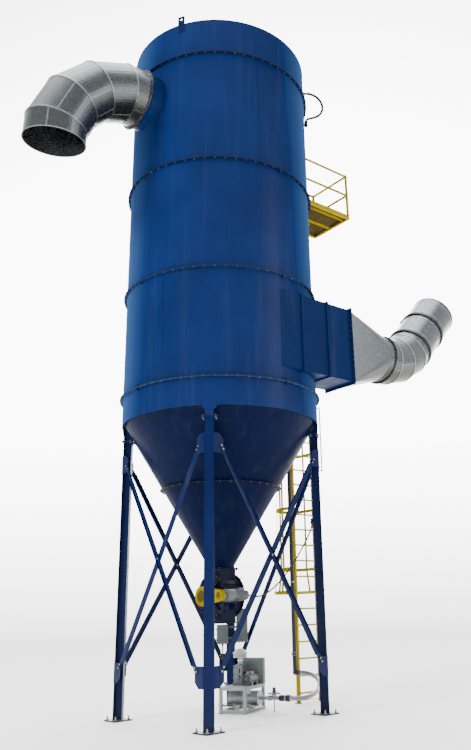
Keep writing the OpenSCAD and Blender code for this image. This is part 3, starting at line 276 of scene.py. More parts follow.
# partly real navy paint and partly painted shade: the hopper's colour is made darker for the shade it sits
# in, facing the ground
paint("hopper_navy_and_shade", (0.0016, 0.0050, 0.028), 0.42, 0.02, 0.3, vary=0.08, streak=0.02, dust=0.05,
      wave=0.15, gloss=0.03)
paint("lock_navy", (0.0016, 0.0042, 0.024), 0.40, 0.04, 0.25, dust=0.25, streak=0.05)
paint("yellow_paint", (0.36, 0.262, 0.0008), 0.42, 0.0, 0.2, dust=0.0, streak=0.01, gloss=0.03)
paint("deck_yellow", (0.075, 0.052, 0.004), 0.45, 0.1, 0.3, dust=0.2, streak=0.15)
paint("grey_paint", (0.085, 0.10, 0.10), 0.38, 0.2, 0.2, dust=0.2, streak=0.10)
paint("pale_grey", (0.30, 0.33, 0.34), 0.38, 0.1, 0.2, dust=0.2, streak=0.1)
paint("guard_grey", (0.16, 0.18, 0.185), 0.38, 0.1, 0.2, dust=0.2, streak=0.1)
paint("motor_grey", (0.17, 0.18, 0.19), 0.34, 0.25, 0.2, dust=0.2,
      low=(1.83, 1.86, (0.004, 0.008, 0.03), 1.0))
paint("mid_grey", (0.12, 0.13, 0.14), 0.42, 0.25, 0.2, dust=0.3)
galvanised("galvanised", (0.20, 0.225, 0.24), 0.27, 0.92)
galvanised("seam_metal", (0.42, 0.45, 0.47), 0.34, 0.8, 60.0)
galvanised("galvanised_dull", (0.38, 0.41, 0.42), 0.45, 0.7, 60.0)
galvanised("zinc_bolts", (0.36, 0.33, 0.24), 0.35, 0.85, 90.0)
metal("steel", (0.42, 0.43, 0.45))
metal("bright_steel", (0.66, 0.67, 0.69), 0.25)
metal("bolt_steel", (0.17, 0.17, 0.17), 0.45, 0.8)
metal("dark_steel", (0.10, 0.10, 0.11), 0.45, 0.8)
metal("cast_alloy", (0.20, 0.21, 0.22), 0.42, 0.75, (60, 60, 60))
plastic("black_pipe", (0.018, 0.018, 0.02), 0.42)
plastic("rubber_black", (0.014, 0.014, 0.015), 0.62, 0.25, 140.0)
plastic("hose_black", (0.012, 0.012, 0.013), 0.38, 0.1)
plastic("hose_grey", (0.27, 0.255, 0.30), 0.35, 0.15)
# painted shade: black for the dark insides seen through openings
plastic("painted_shade_black", (0.004, 0.004, 0.004), 0.8, 0.0)
plastic("valve_blue", (0.006, 0.022, 0.10), 0.35)
plastic("white_cap", (0.46, 0.48, 0.48), 0.4)
felt_cloth("felt", (0.50, 0.49, 0.46))

NODE_MATS = {
    "shell_blue": "plenum_top plenum_section bag_section inlet_section skirt_ring roof_plate",
    "part_blue": "access_door outlet_nozzle inlet_box",
    "leg_blue": "leg_front leg_right leg_back leg_left gusset_plates cross_braces",
    "hopper_navy_and_shade": "hopper_upper hopper_lower",
    "lock_navy": "airlock_housing airlock_end_plates",
    "galvanised": "tubesheet outlet_elbow inlet_transition inlet_elbow inlet_duct",
    "galvanised_dull": "bag_cages cleaning_arm pressure_tube silencer_line",
    "zinc_bolts": "frame_bolts",
    "bolt_steel": "flange_bolts",
    "dark_steel": "drive_chain",
    "yellow_paint": "ladder ladder_cage guardrail chain_guard platform",
    "deck_yellow": "platform_grating",
    "grey_paint": "arm_gearmotor control_cabinets cabinet_door_left cabinet_door_right",
    "motor_grey": "airlock_gearmotor",
    "guard_grey": "belt_guard",
    "pale_grey": "blower_skid intake_filter",
    "cast_alloy": "blower_housing blower_motor",
    "steel": "airlock_rotor driven_sprocket drive_sprocket drive_lobe idler_lobe motor_pulley",
    "black_pipe": "riser_pipe",
    "rubber_black": "drive_belt",
    "felt": "filter_bags",
}
for mat_name, names in NODE_MATS.items():
    for node_name in names.split():
        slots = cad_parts[node_name].data.materials
        if not slots:
            slots.append(MATS[mat_name])
        for i in range(len(slots)):
            slots[i] = MATS[mat_name]

# ---------------------------------------------------------------- places
AT_SKID = T((0.2965, 0.7627, 0)) @ rot(-22, "Z")
AT_LOCK = T((0, 0, LOCK_Z)) @ rot(225, "Z")
AT_DECK = rot(41, "Z")
AT_INLET = rot(42, "Z")
AT_OUTLET = rot(-137.5, "Z") @ T((0, 0, 11.4)) @ rot(-7, "X")
AXIS = {"X": rot(90, "Y"), "Y": rot(-90, "X"), "Z": I4,
        "-X": rot(-90, "Y"), "-Y": rot(90, "X"), "-Z": rot(180, "X")}


def along(point, axis):
    """Frame at a point whose Z runs along an axis or direction."""
    if isinstance(axis, str):
        return T(point) @ AXIS[axis]
    return T(point) @ Vector(axis).to_track_quat("Z", "Y").to_matrix().to_4x4()


def circle(r, n, z=0.0):
    return [(r * math.cos(k * math.tau / n), r * math.sin(k * math.tau / n), z) for k in range(n)]


# ---------------------------------------------------------------- mesh builder
class Build:
    """Gathers closed shapes in one frame and makes them one piece."""

    def __init__(self, at=I4):
        self.at, self.v, self.f = at, [], []

    def push(self, verts, faces, m=I4):
        m = self.at @ m
        base = len(self.v)
        self.v += [tuple(m @ Vector(p)) for p in verts]
        self.f += [[i + base for i in f] for f in faces]

    def lathe(self, profile, m=I4, n=24):
        """Closed profile of (radius, height) turned round the frame's Z."""
        verts = [(r * x, r * y, z) for x, y, _ in circle(1.0, n) for r, z in profile]
        p = len(profile)
        faces = [[k * p + i, ((k + 1) % n) * p + i, ((k + 1) % n) * p + (i + 1) % p, k * p + (i + 1) % p]
                 for k in range(n) for i in range(p)
                 if profile[i][0] > 1e-6 or profile[(i + 1) % p][0] > 1e-6]
        self.push(verts, faces, m)

    def rod(self, r, z0, z1, m=I4, n=20):
        c = min(r * 0.12, 0.003)
        self.lathe([(0, z0), (r - c, z0), (r, z0 + c), (r, z1 - c), (r - c, z1), (0, z1)], m, n)

    def ring(self, r0, r1, z0, z1, m=I4, n=48, c=0.001):
        self.lathe([(r0, z0), (r1 - c, z0), (r1, z0 + c), (r1, z1 - c), (r1 - c, z1), (r0, z1)], m, n)

    def nut(self, r, h, m=I4):
        self.lathe([(0, 0), (r * 0.96, 0), (r, h * 0.08), (r, h * 0.8), (r * 0.85, h), (0, h)], m, 6)

    def bolt(self, d, m=I4, shank=0.0, washer=True):
        if washer:
            self.ring(0.0, d * 1.15, 0, d * 0.18, m, 16)
        self.nut(d * 0.95, d * 0.8, m @ T((0, 0, d * 0.15)))
        if shank:
            self.rod(d * 0.5, 0, d * 0.9 + shank, m, 12)

    def block(self, x0, x1, y0, y1, z0, z1, c=0.003, m=I4):
        """Box with its edges and corners cut by c."""
        c = min(c, (x1 - x0) * 0.3, (y1 - y0) * 0.3, (z1 - z0) * 0.3)
        lo, hi = (x0, y0, z0), (x1, y1, z1)
        verts, index = [], {}
        for sx in (0, 1):
            for sy in (0, 1):
                for sz in (0, 1):
                    s = (sx, sy, sz)
                    for a in range(3):
                        p = [0, 0, 0]
                        for b in range(3):
                            edge = hi[b] if s[b] else lo[b]
                            p[b] = edge if b == a else edge + (-c if s[b] else c)
                        index[(s, a)] = len(verts)
                        verts.append(p)
        faces = []
        for a in range(3):
            b, d = (a + 1) % 3, (a + 2) % 3
            for side in (0, 1):
                q = []
                for u, w in ((0, 0), (1, 0), (1, 1), (0, 1)):
                    s = [0, 0, 0]
                    s[a], s[b], s[d] = side, u, w
                    q.append(index[(tuple(s), a)])
                faces.append(q if side else q[::-1])
        for a in range(3):
            b, d = (a + 1) % 3, (a + 2) % 3
            for u in (0, 1):
                for w in (0, 1):
                    s0, s1 = [0, 0, 0], [0, 0, 0]
                    s0[b] = s1[b] = u
                    s0[d] = s1[d] = w
                    s1[a] = 1
                    t0, t1 = tuple(s0), tuple(s1)
                    q = [index[(t0, b)], index[(t1, b)], index[(t1, d)], index[(t0, d)]]
                    faces.append(q if u == w else q[::-1])
        for s in {k[0] for k in index}:
            tri = [index[(s, 0)], index[(s, 1)], index[(s, 2)]]
            faces.append(tri if sum(s) % 2 else tri[::-1])
        self.push(verts, faces, m)

    def prism(self, outline, z0, z1, m=I4):
        n = len(outline)
        verts = [(x, y, z0) for x, y in outline] + [(x, y, z1) for x, y in outline]
        faces = [list(range(n - 1, -1, -1)), list(range(n, 2 * n))]
        faces += [[i, (i + 1) % n, n + (i + 1) % n, n + i] for i in range(n)]
        self.push(verts, faces, m)

    def sweep(self, path, radius, n=12, closed=False):
        """Tube along a path; radius may be a list with one value a point."""
        pts = [Vector(p) for p in path]
        k = len(pts)
        tangents = []
        for i in range(k):
            a = pts[(i - 1) % k] if closed or i else pts[0]
            b = pts[(i + 1) % k] if closed or i < k - 1 else pts[-1]
            tangents.append((b - a).normalized())
        side = tangents[0].orthogonal().normalized()
        verts, faces = [], []
        for i in range(k):
            side = (side - tangents[i] * side.dot(tangents[i])).normalized()
            up = tangents[i].cross(side)
            r = radius[i] if isinstance(radius, list) else radius
            for j in range(n):
                a = j * math.tau / n
                verts.append(pts[i] + side * (r * math.cos(a)) + up * (r * math.sin(a)))
        last = k if closed else k - 1
        for i in range(last):
            for j in range(n):
                p, q = i * n, ((i + 1) % k) * n
                faces.append([p + j, p + (j + 1) % n, q + (j + 1) % n, q + j])
        if not closed:
            faces += [list(range(n - 1, -1, -1)), [(k - 1) * n + j for j in range(n)]]
        self.push(verts, faces)

    def strip(self, rings):
        """Skin over equal rings of points, closed round each ring and from last ring to first."""
        n, k = len(rings[0]), len(rings)
        self.push([p for r in rings for p in r],
                  [[i * n + j, i * n + (j + 1) % n, ((i + 1) % k) * n + (j + 1) % n, ((i + 1) % k) * n + j]
                   for i in range(k) for j in range(n)])

    def make(self, name, mat, body="frame", angle=35, smooth=True):
        mesh = bpy.data.meshes.new(name)
        mesh.from_pydata(self.v, [], self.f)
        mesh.validate()
        mesh.polygons.foreach_set("use_smooth", [smooth] * len(mesh.polygons))
        if smooth:
            mesh.set_sharp_from_angle(angle=math.radians(angle))
        mesh.materials.append(MATS[mat])
        o = bpy.data.objects.new(name, mesh)
        SCENE.collection.objects.link(o)
        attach(o, body)
        return o


# ---------------------------------------------------------------- cords
def curve_through(points, steps):
    """Smooth curve through every point, with a number of steps between two."""
    pts = [Vector(p) for p in points]
    ext = [2 * pts[0] - pts[1]] + pts + [2 * pts[-1] - pts[-2]]
    out = []
    for i in range(1, len(ext) - 2):
        p0, p1, p2, p3 = ext[i - 1:i + 3]
        for s in range(steps):
            u = s / steps
            out.append(0.5 * ((2 * p1) + (p2 - p0) * u + (2 * p0 - 5 * p1 + 4 * p2 - p3) * u * u
                              + (3 * p1 - p0 - 3 * p2 + p3) * u ** 3))
    out.append(pts[-1])
    return out


def clamp_at(b, path, index, r):
    w = 0.014
    m = along(path[index], (path[index + 1] - path[index - 1]).normalized())
    b.ring(r, r + 0.003, -w / 2, w / 2, m, 32)
    b.block(r, r + 0.014, -0.012, 0.012, -w / 2 - 0.001, w / 2 + 0.001, 0.002, m)
    b.rod(0.004, -0.016, 0.016, m @ T((r + 0.008, 0, 0)) @ AXIS["Y"], 10)


def cord_piece(name, node_name, route, r, mat, n, ribs, extras):
    """Cord along a route in mm; ribs is the pitch of a ribbed hose, or 0; extras makes its end pieces."""
    path = curve_through([[c / 1000 for c in p] for p in route], 12 if ribs else 6)
    total, run, radii, prev = sum((q - p).length for p, q in zip(path, path[1:])), 0.0, [], path[0]
    for p in path:
        run += (p - prev).length
        prev = p
        radii.append(r * (1 - 0.045 + 0.045 * math.cos(run * math.tau / ribs)) if ribs else r)
    b = Build()
    b.sweep(path, radii, n)
    o = b.make(name, mat, angle=60)
    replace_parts(o, node_name)
    others = extras(path)


HOSE_ROUTE = [[1162, 435, 220], [1254, 398, 217], [1350, 392, 218], [1450, 440, 228], [1540, 545, 250],
              [1610, 690, 282], [1655, 840, 322], [1680, 990, 368], [1675, 1130, 416], [1645, 1260, 460],
              [1590, 1380, 497], [1515, 1485, 524], [1425, 1555, 540], [1340, 1580, 545]]
LOOP_ROUTE = [[1900, 0, 12760], [1965, 0, 12768], [2045, 0, 12765], [2125, 0, 12740],
              [2200, 0, 12692], [2262, 0, 12620], [2302, 0, 12535], [2318, 0, 12445], [2308, 0, 12355],
              [2272, 0, 12272], [2212, 0, 12202], [2135, 0, 12152], [2055, 0, 12122], [1995, 0, 12100],
              [1950, 0, 12068], [1928, 0, 12040], [1922, 0, 12010]]
CABLE_ROUTE = [[461, -218, 1945], [500, -178, 1938], [550, -135, 1925], [620, -100, 1915],
               [700, -75, 1925], [800, -55, 1965], [900, -42, 2030], [1000, -33, 2115],
               [1100, -26, 2220], [1200, -20, 2340], [1300, -14, 2475], [1400, -9, 2625],
               [1500, -5, 2790], [1590, -2, 2960], [1637, 0, 3075], [1645, 0, 3180]]
PANEL_ROUTE = [[-130, 1470, 1105], [-130, 1470, 1050], [-129, 1460, 985], [-124, 1425, 910],
               [-116, 1365, 832], [-107, 1290, 755], [-97, 1200, 682], [-86, 1110, 616],
               [-75, 1030, 562], [-64, 950, 520], [-51, 880, 486], [-32, 825, 465], [-6, 788, 455]]
LOOP_TURN = math.radians(12)
LOOP_WORLD = [[x * math.cos(LOOP_TURN), x * math.sin(LOOP_TURN), z] for x, y, z in LOOP_ROUTE]


def end_clamps(name, r):
    def extras(path):
        b = Build()
        for i in (3, len(path) - 4):
            clamp_at(b, path, i, r)
        return [b.make(name, "bright_steel")]
    return extras


def glands(name, r):
    def extras(path):
        b = Build()
        for p, q in ((path[0], path[1]), (path[-1], path[-2])):
            m = along(p, q - p)
            b.nut(r * 2.1, r * 0.9, m)
            b.lathe([(r * 0.98, 0), (r * 1.75, r * 0.8), (r * 1.6, r * 1.9), (r * 1.15, r * 3.6),
                     (r * 0.98, r * 3.6)], m, 24)
        return [b.make(name, "rubber_black")]
    return extras


cord_piece("blower_hose_line", "blower_hose", HOSE_ROUTE, 0.040, "hose_grey", 24, 0.026,
           end_clamps("hose_clamps", 0.040))
cord_piece("loop_hose_line", "loop_hose", LOOP_WORLD, 0.028, "hose_black", 24, 0.0,
           end_clamps("loop_clamps", 0.028))
cord_piece("motor_cable_line", "motor_cable", CABLE_ROUTE, 0.013, "rubber_black", 16, 0.0,
           glands("cable_glands", 0.013))
cord_piece("panel_cable_line", "panel_cable", PANEL_ROUTE, 0.011, "rubber_black", 16, 0.0,
           glands("panel_glands", 0.011))


# ---------------------------------------------------------------- ducts
def gore_point(bend, r, deg, off, phi):
    """Point of a mitred duct at an angle round the bend; off is the angle from its gore's middle."""
    a, d = math.radians(deg), (bend + r * math.cos(phi)) / math.cos(math.radians(off))
    return (d * math.sin(a), r * math.sin(phi), d * math.cos(a) - bend)


def gored_trim(b, bend, r, turn, full):
    """Seams of a mitred elbow: one round each joint, and four along each gore."""
    half = turn / (2 * full + 2)
    lift = 0.007
    w = math.degrees(0.016 / bend)
    for k in range(full + 1):
        s = (2 * k + 1) * half
        section = ((s - w, half - w, r - 0.001), (s - w, half - w, r + lift), (s, half, r + lift * 1.3),
                   (s + w, half - w, r + lift), (s + w, half - w, r - 0.001), (s, half, r - 0.002))
        b.strip([[gore_point(bend, rr, deg, off, j * math.tau / 96) for j in range(96)]
                 for deg, off, rr in section])
    across = ((-0.024, r - 0.001), (-0.019, r + 0.004), (0.019, r + 0.004), (0.024, r - 0.001))
    for k in range(full + 2):
        a0 = 0.6 if k == 0 else (2 * k - 1) * half
        a1 = turn - 0.5 if k == full + 1 else (2 * k + 1) * half
        mid = 0 if k == 0 else (turn if k == full + 1 else 2 * k * half)
        for phi0 in (0.9, 2.5, 3.9, 5.35):
            phi0 += 0.25 * (k % 2)
            b.push([gore_point(bend, rr, deg, deg - mid, phi0 + dp)
                    for deg in (a0, a1) for dp, rr in across],
                   [[0, 1, 5, 4], [1, 2, 6, 5], [2, 3, 7, 6], [3, 0, 4, 7], [3, 2, 1, 0], [4, 5, 6, 7]])


def bolt_ring(b, at, radius, count, d, height=0.0, nuts=None):
    """Bolts on a circle, and their nuts at another height, facing back."""
    for k in range(count):
        m = at @ rot(360 * (k + 0.5) / count, "Z") @ T((radius, 0, height))
        b.bolt(d, m)
        if nuts is not None:
            b.bolt(d, m @ T((0, 0, nuts - height)) @ AXIS["-Z"], 0.004)


# outlet elbow: seams, rolled mouth and flange bolts
OUT_START = AT_OUTLET @ T((2.05, 0, 0))
b = Build(OUT_START)
gored_trim(b, OUTLET_BEND, OUTLET_R, 90, 3)
mouth = [gore_point(OUTLET_BEND, OUTLET_R + 0.001, 90, 0, j * math.tau / 96) for j in range(96)]
b.sweep(mouth, 0.009, 10, closed=True)
b.make("outlet_seams", "seam_metal")
b = Build(OUT_START)
bolt_ring(b, AXIS["X"], 0.590, 28, 0.012, 0.008, nuts=-0.010)
b.make("outlet_flange_bolts", "dark_steel")

# inlet elbow, then the duct with its joint bands
INLET_END = (2.971, INLET_Y, INLET_Z)
b = Build(AT_INLET @ T(INLET_END) @ rot(180, "X"))
gored_trim(b, INLET_BEND, INLET_R, INLET_TURN, 2)
b.make("inlet_elbow_seams", "seam_metal")
turned = math.radians(INLET_TURN)
DUCT_START = T((INLET_BEND * math.sin(turned), 0, INLET_BEND * (1 - math.cos(turned))))
DUCT = AT_INLET @ T(INLET_END) @ DUCT_START @ rot(90 - INLET_TURN, "Y")
b = Build(DUCT)
for z in (0.11, 0.60, 0.80, 1.25):
    b.ring(0.467, 0.473, z - 0.010, z + 0.010, n=96)
b.sweep(circle(0.470, 96, 1.366), 0.008, 10, closed=True)
for z0, z1, first in ((0.05, 0.67, 35), (0.73, 1.35, 150)):
    for a in (first, first + 180):
        b.block(0.465, 0.472, -0.012, 0.012, z0, z1, 0.002, rot(a, "Z"))
b.make("duct_seams", "seam_metal")
b = Build(DUCT)
for z in (0.024, 0.700):
    b.ring(0.497, 0.501, z - 0.016, z + 0.016, n=96)
    for a in (20, 140, 260):
        m = rot(a, "Z") @ T((0.503, 0, z))
        b.block(0, 0.012, -0.045, 0.045, -0.016, 0.016, 0.003, m)
        b.block(0.010, 0.020, -0.055, 0.015, -0.009, 0.009, 0.003, m)
        b.rod(0.005, -0.02, 0.02, m @ T((0.014, 0.03, 0)), 12)
b.make("duct_band_latches", "dark_steel")

# bolted rectangular joint of the inlet box, and the ring joint after the transition
b = Build(AT_INLET)
ys = [-1.858 + 0.794 * k / 7 for k in range(8)]
zs = [5.719 + 1.501 * k / 13 for k in range(14)]
spots = [(y, z) for y in ys for z in (zs[0], zs[-1])] + [(y, z) for z in zs[1:-1] for y in (ys[0], ys[-1])]
for y, z in spots:
    b.bolt(0.012, along((1.793, y, z), "X"), 0.004)
    b.bolt(0.012, along((1.775, y, z), "-X"), 0.0)
bolt_ring(b, along(INLET_END, "X"), 0.488, 22, 0.010, 0.008, nuts=-0.008)
b.make("inlet_joint_bolts", "dark_steel")

# welds of the inlet box and the transition
b = Build(AT_INLET)
for x in (0.495, 0.540, 1.135, 1.180, 1.774):
    b.sweep([(x, -1.8365, 5.742), (x, -1.8365, 7.197), (x, -1.20, 7.197)], 0.005, 8)
for z in (5.743, 7.196):
    b.sweep([(0.0, -1.8335, z), (1.774, -1.8345, z)], 0.006, 8)
b.make("inlet_box_welds", "part_blue")
b = Build(AT_INLET @ T((1.785, INLET_Y, 0)))
for sy in (-1, 1):
    for z0, rise in ((5.744, -0.455), (7.195, 0.455)):
        b.sweep([(0.012, sy * 0.371, z0), (1.081, sy * 0.10, INLET_Z + rise)], 0.004, 8)
b.make("transition_welds", "seam_metal")

# ---------------------------------------------------------------- shell
def bead(b, pts):
    """Weld of uneven width, along close points."""
    b.sweep(pts, [0.005 * (0.85 + 0.3 * ((i * 7) % 5) / 4) for i in range(len(pts))], 8)


# upright seams, the welds of the ring joints, and the lifting pads
b = Build()
for z0, z1, azimuths in ((12.11, 12.89, (200,)), (9.71, 12.09, (118, -60)), (7.50, 9.69, (-150, 30)),
                         (5.47, 7.47, (118, -118)), (4.96, 5.44, (60,))):
    n = int((z1 - z0) / 0.05)
    for az in azimuths:
        foot = rot(az, "Z") @ Vector((SHELL_R - 0.0015, 0, 0))
        bead(b, [(foot.x, foot.y, z0 + (z1 - z0) * i / n) for i in range(n + 1)])
for z in [joint + side for joint in RING_JOINTS for side in (0.008, -0.008)] + [12.900]:
    b.sweep(circle(SHELL_R, 160, z), 0.005, 8, closed=True)
for a in (-109, 71):
    m = rot(a, "Z")
    b.sweep([m @ Vector(p) for p in ((1.846, -0.07, 12.73), (1.846, 0.07, 12.73))], 0.006, 8)
    b.block(1.829, 1.8445, -0.07, -0.058, 12.74, 12.90, 0.002, m)
b.make("shell_welds", "part_blue")
# partly real gaskets and partly painted shade: thin black rings at the ring joints and the hopper joint,
# for the shaded gap between the flanges
b = Build()
for z in RING_JOINTS:
    b.ring(1.8865, 1.8895, z - 0.003, z + 0.003, n=192, c=0.0005)
b.ring(1.10, 1.111, 3.797, 3.803, n=96, c=0.0005)
b.make("joint_gaskets_and_gap_shade", "rubber_black")
b = Build()
for k in range(12):
    b.sweep([rot(30 * k, "Z") @ Vector((r, 0, ROOF_Z)) for r in (0.3, 0.8, 1.3, 1.79)], 0.004, 8)
b.sweep(circle(1.822, 160, ROOF_Z), 0.005, 8, closed=True)
b.make("roof_welds", "part_blue")


# hopper
def hopper_r(z):
    """Outer radius of the cone, from the 0.2 m outlet at 2.4 m up to 1.78 m at 5 m."""
    return 0.2 + (1.78 - 0.2) / 2.6 * (z - 2.4)


b = Build()
for lo, hi, azimuths in ((3.82, 4.98, (20, 110, 200, 290)), (2.44, 3.78, (65, 245))):
    heights = [lo + (hi - lo) * i / 30 for i in range(31)]
    for az in azimuths:
        bead(b, [rot(az, "Z") @ Vector((hopper_r(z) - 0.001, 0, z)) for z in heights])
for z in (2.416, 3.790, 3.810):
    b.sweep(circle(hopper_r(z) + 0.001, 96, z), 0.006, 8, closed=True)
b.make("hopper_welds", "hopper_navy_and_shade")

# access door: gasket, dogs and lever
b = Build(AT_DECK)
for z in (10.62, 10.95, 11.45, 11.78):
    b.block(1.926, 1.934, -0.36, -0.30, z - 0.02, z + 0.02, 0.002)
    b.rod(0.009, 0.0, 0.022, along((1.934, -0.33, z), "X"), 16)
    b.sweep([(1.945, -0.33, z), (1.952, -0.345, z + 0.01), (1.954, -0.372, z + 0.012)], 0.006, 10)
b.make("door_dogs", "galvanised_dull", "access_door")
b = Build(AT_DECK)
corners = ((-0.365, 10.515), (0.18, 10.515), (0.18, 11.885), (-0.365, 11.885))
b.sweep([(1.9275, y, z) for y, z in corners], 0.0035, 8, closed=True)
b.make("door_edge_bead", "part_blue", "access_door")

# ---------------------------------------------------------------- legs
b, w = Build(), Build()
for a in (-90, 0, 90, 180):
    m = rot(a, "Z")
    foot = m @ T((LEG_R, 0, 0)) @ rot(45, "Z")
    for x in (-0.1273, 0.1273):
        for y in (-0.1273, 0.1273):
            p = foot @ T((x, y, 0.020))
            b.ring(0, 0.024, 0, 0.004, p, 20)
            b.nut(0.021, 0.019, p @ T((0, 0, 0.004)))
            b.rod(0.0115, 0.0, 0.062, p, 14)
    for sx in (-1, 1):
        w.sweep([m @ Vector((LEG_R + sx * 0.078, y, 0.023)) for y in (-0.078, 0.078)], 0.006, 8)
        for ends in ((-0.075, -0.006), (0.006, 0.075)):
            w.sweep([m @ Vector((LEG_R + sx * 0.066, y, 0.023)) for y in ends], 0.005, 8)
    for z in (0.602, 0.913, 4.152, 4.478):
        w.sweep([m @ Vector((1.827, y, z)) for y in (-0.074, 0.074)], 0.005, 8)
    for z in (4.740, 4.768):
        w.sweep([m @ Vector((1.823, y, z)) for y in (-0.074, 0.074)], 0.005, 8)
b.make("anchor_nuts", "zinc_bolts")
w.make("leg_welds", "leg_blue")

# ---------------------------------------------------------------- platform, ladder
def deck_from(y):
    """Where the grating starts: at the ladder's notch, or along the shell."""
    return NOTCH_X if y > NOTCH_Y else math.sqrt(1.922 ** 2 - y * y)


b = Build(AT_DECK)
y = -0.466
while y < 0.722:
    b.block(deck_from(y), DECK_EDGE, y - 0.0025, y + 0.0025, 10.370, 10.398, 0.0008)
    y += 0.0345
x = 1.90
while x < 3.33:
    y0, y1 = (-0.468, 0.718) if x > 2.715 else (-0.468, 0.288)
    b.rod(0.004, y0, y1, along((x, 0, 10.394), "Y"), 6)
    x += 0.10
for x0, y0, x1, y1 in ((DECK_EDGE, -0.470, DECK_EDGE, 0.720), (1.87, -0.470, DECK_EDGE, -0.470),
                       (NOTCH_X, 0.720, DECK_EDGE, 0.720), (NOTCH_X, NOTCH_Y, NOTCH_X, 0.720),
                       (1.905, NOTCH_Y, NOTCH_X, NOTCH_Y)):
    b.block(x0 - 0.002, x1 + 0.002, y0 - 0.002, y1 + 0.002, 10.368, 10.398, 0.0006)
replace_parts(b.make("deck_grating", "deck_yellow"), "platform_grating")
b = Build(AT_DECK)
for px, py in ((1.975, -0.456), (3.316, -0.456), (3.316, 0.706), (2.724, 0.706)):
    b.lathe([(0.030, 0), (0.044, 0), (0.044, 0.006), (0.037, 0.010), (0.030, 0.012)],
            T((px, py, 10.400)), 28)
    for zz in (10.9335, 11.447):
        b.lathe([(0.0295, -0.031), (0.035, -0.028), (0.035, 0.028), (0.0295, 0.031)], T((px, py, zz)), 28)
b.make("rail_fittings", "yellow_paint")
b = Build(AT_DECK)
cage_x, cage_y, cage_r = 2.357, 0.767, 0.345
for k in range(7):
    z = 2.46 + 1.19 * k
    for a in (0, 45, 90, 135, 180):
        ca, sa = math.cos(math.radians(a)), math.sin(math.radians(a))
        b.bolt(0.009, along((cage_x + cage_r * ca, cage_y + cage_r * sa, z), (ca, sa, 0)))
    for x in (2.049, 2.665):
        b.bolt(0.010, along((x, LADDER_Y, z), "Y"))
for z in (5.93, 8.03, 10.13):
    b.bolt(0.011, along((2.04, LADDER_Y - 0.002, z), "Y"))
    b.bolt(0.011, along((1.99, LADDER_Y - 0.002, z + 0.02), "Y"))
for x in (2.03, 2.085, 2.632, 2.687):
    b.bolt(0.012, along((x, 0.47, 0.010), "Z"))
b.make("ladder_bolts", "zinc_bolts")

# riser pipe: couplings and clips
b = Build()
for z in (0.88, 3.63, 6.73, 9.33):
    b.lathe([(0.040, -0.036), (0.054, -0.032), (0.054, -0.012), (0.049, -0.010), (0.049, 0.010),
             (0.054, 0.012), (0.054, 0.032), (0.040, 0.036)], T((RISER_X, RISER_Y, z)), 32)
b.lathe([(0.051, 0.068), (0.060, 0.072), (0.060, 0.100), (0.051, 0.1045)],
        along((RISER_X, RISER_Y, 0.545), "X"), 32)
b.make("riser_couplings", "mid_grey")
b = Build(AT_DECK)
for z in (2.2, 5.95, 8.05, 10.15):
    m = T((1.968, 0.3826, z))
    b.ring(0.040, 0.044, -0.015, 0.015, m, 32)
    b.block(0.040, 0.090, -0.003, 0.003, -0.015, 0.015, 0.001, m @ rot(35, "Z"))
b.make("riser_clips", "galvanised_dull")

# ---------------------------------------------------------------- airlock and drive
b = Build(AT_LOCK)
for way, x in (("-X", -0.231), ("X", 0.231)):
    m = along((x, 0, 0), way)
    bolt_ring(b, m, 0.356, 20, 0.013)
    bolt_ring(b, m @ T((0, 0, 0.059)), 0.058, 4, 0.008)
for x in (-0.197, 0.197):
    for y in (-0.197, 0.197):
        b.rod(0.004, 0, 0.012, T((x, y, -0.43)), 10)
b.make("airlock_bolts", "dark_steel")
b = Build(AT_LOCK)
for x in (-0.173, -0.155, 0.155, 0.173):
    b.ring(0.330, 0.3385, x - 0.003, x + 0.003, AXIS["X"], 96)
b.make("airlock_ribs", "lock_navy")


# chain guard; its face is at GUARD_X, drawn with u across and v up
GUARD_X = 0.448
LOCK_FACE = Matrix(((0, 0, 1, 0), (1, 0, 0, 0), (0, 1, 0, 0), (0, 0, 0, 1)))
VENTS = ((0.0, 0.104), (0.475, 0.060))


def guard_outline(r1, r2, x):
    """Two round ends, one at each sprocket, and the straight sides between them."""
    a, n = math.asin((r1 - r2) / SPROCKET_GAP), 48
    big = [math.pi / 2 - a + (math.pi + 2 * a) * i / n for i in range(n + 1)]
    small = [-math.pi / 2 - a + (math.pi - 2 * a) * i / n for i in range(n + 1)]
    return ([LOCK_FACE @ Vector((r1 * math.cos(t), r1 * math.sin(t), x)) for t in big]
            + [LOCK_FACE @ Vector((SPROCKET_GAP + r2 * math.cos(t), r2 * math.sin(t), x)) for t in small])


b = Build(AT_LOCK)
b.sweep(guard_outline(0.158, 0.086, GUARD_X - 0.001), 0.0045, 8, closed=True)
b.sweep(guard_outline(0.160, 0.088, GUARD_X - 0.043), 0.0045, 8, closed=True)
for u, r in VENTS:
    b.sweep([LOCK_FACE @ Vector((u + x, y, GUARD_X + 0.002)) for x, y, _ in circle(r, 48)], 0.005, 8,
            closed=True)
b.make("guard_rims", "yellow_paint")
# painted shade: black discs fill the vents, for the dark inside of the guard
b = Build(AT_LOCK)
for u, r in VENTS:
    b.prism([(u + x, y) for x, y, _ in circle(r, 48)], GUARD_X - 0.001, GUARD_X + 0.0015, LOCK_FACE)
b.make("guard_vent_shade", "painted_shade_black")
b = Build(AT_LOCK)
for u, r in VENTS:
    v = 0.011 - r
    while v < r:
        half = math.sqrt(r * r - v * v)
        b.sweep([LOCK_FACE @ Vector((u + end, v, GUARD_X + 0.003)) for end in (-half, half)], 0.0020, 6)
        v += 0.0125
for u, v in ((-0.10, 0.10), (0.22, 0.108), (0.535, 0.050)):
    for side in (v, -v):
        b.bolt(0.009, T((GUARD_X, u, side)) @ AXIS["X"])
b.make("guard_mesh", "yellow_paint")


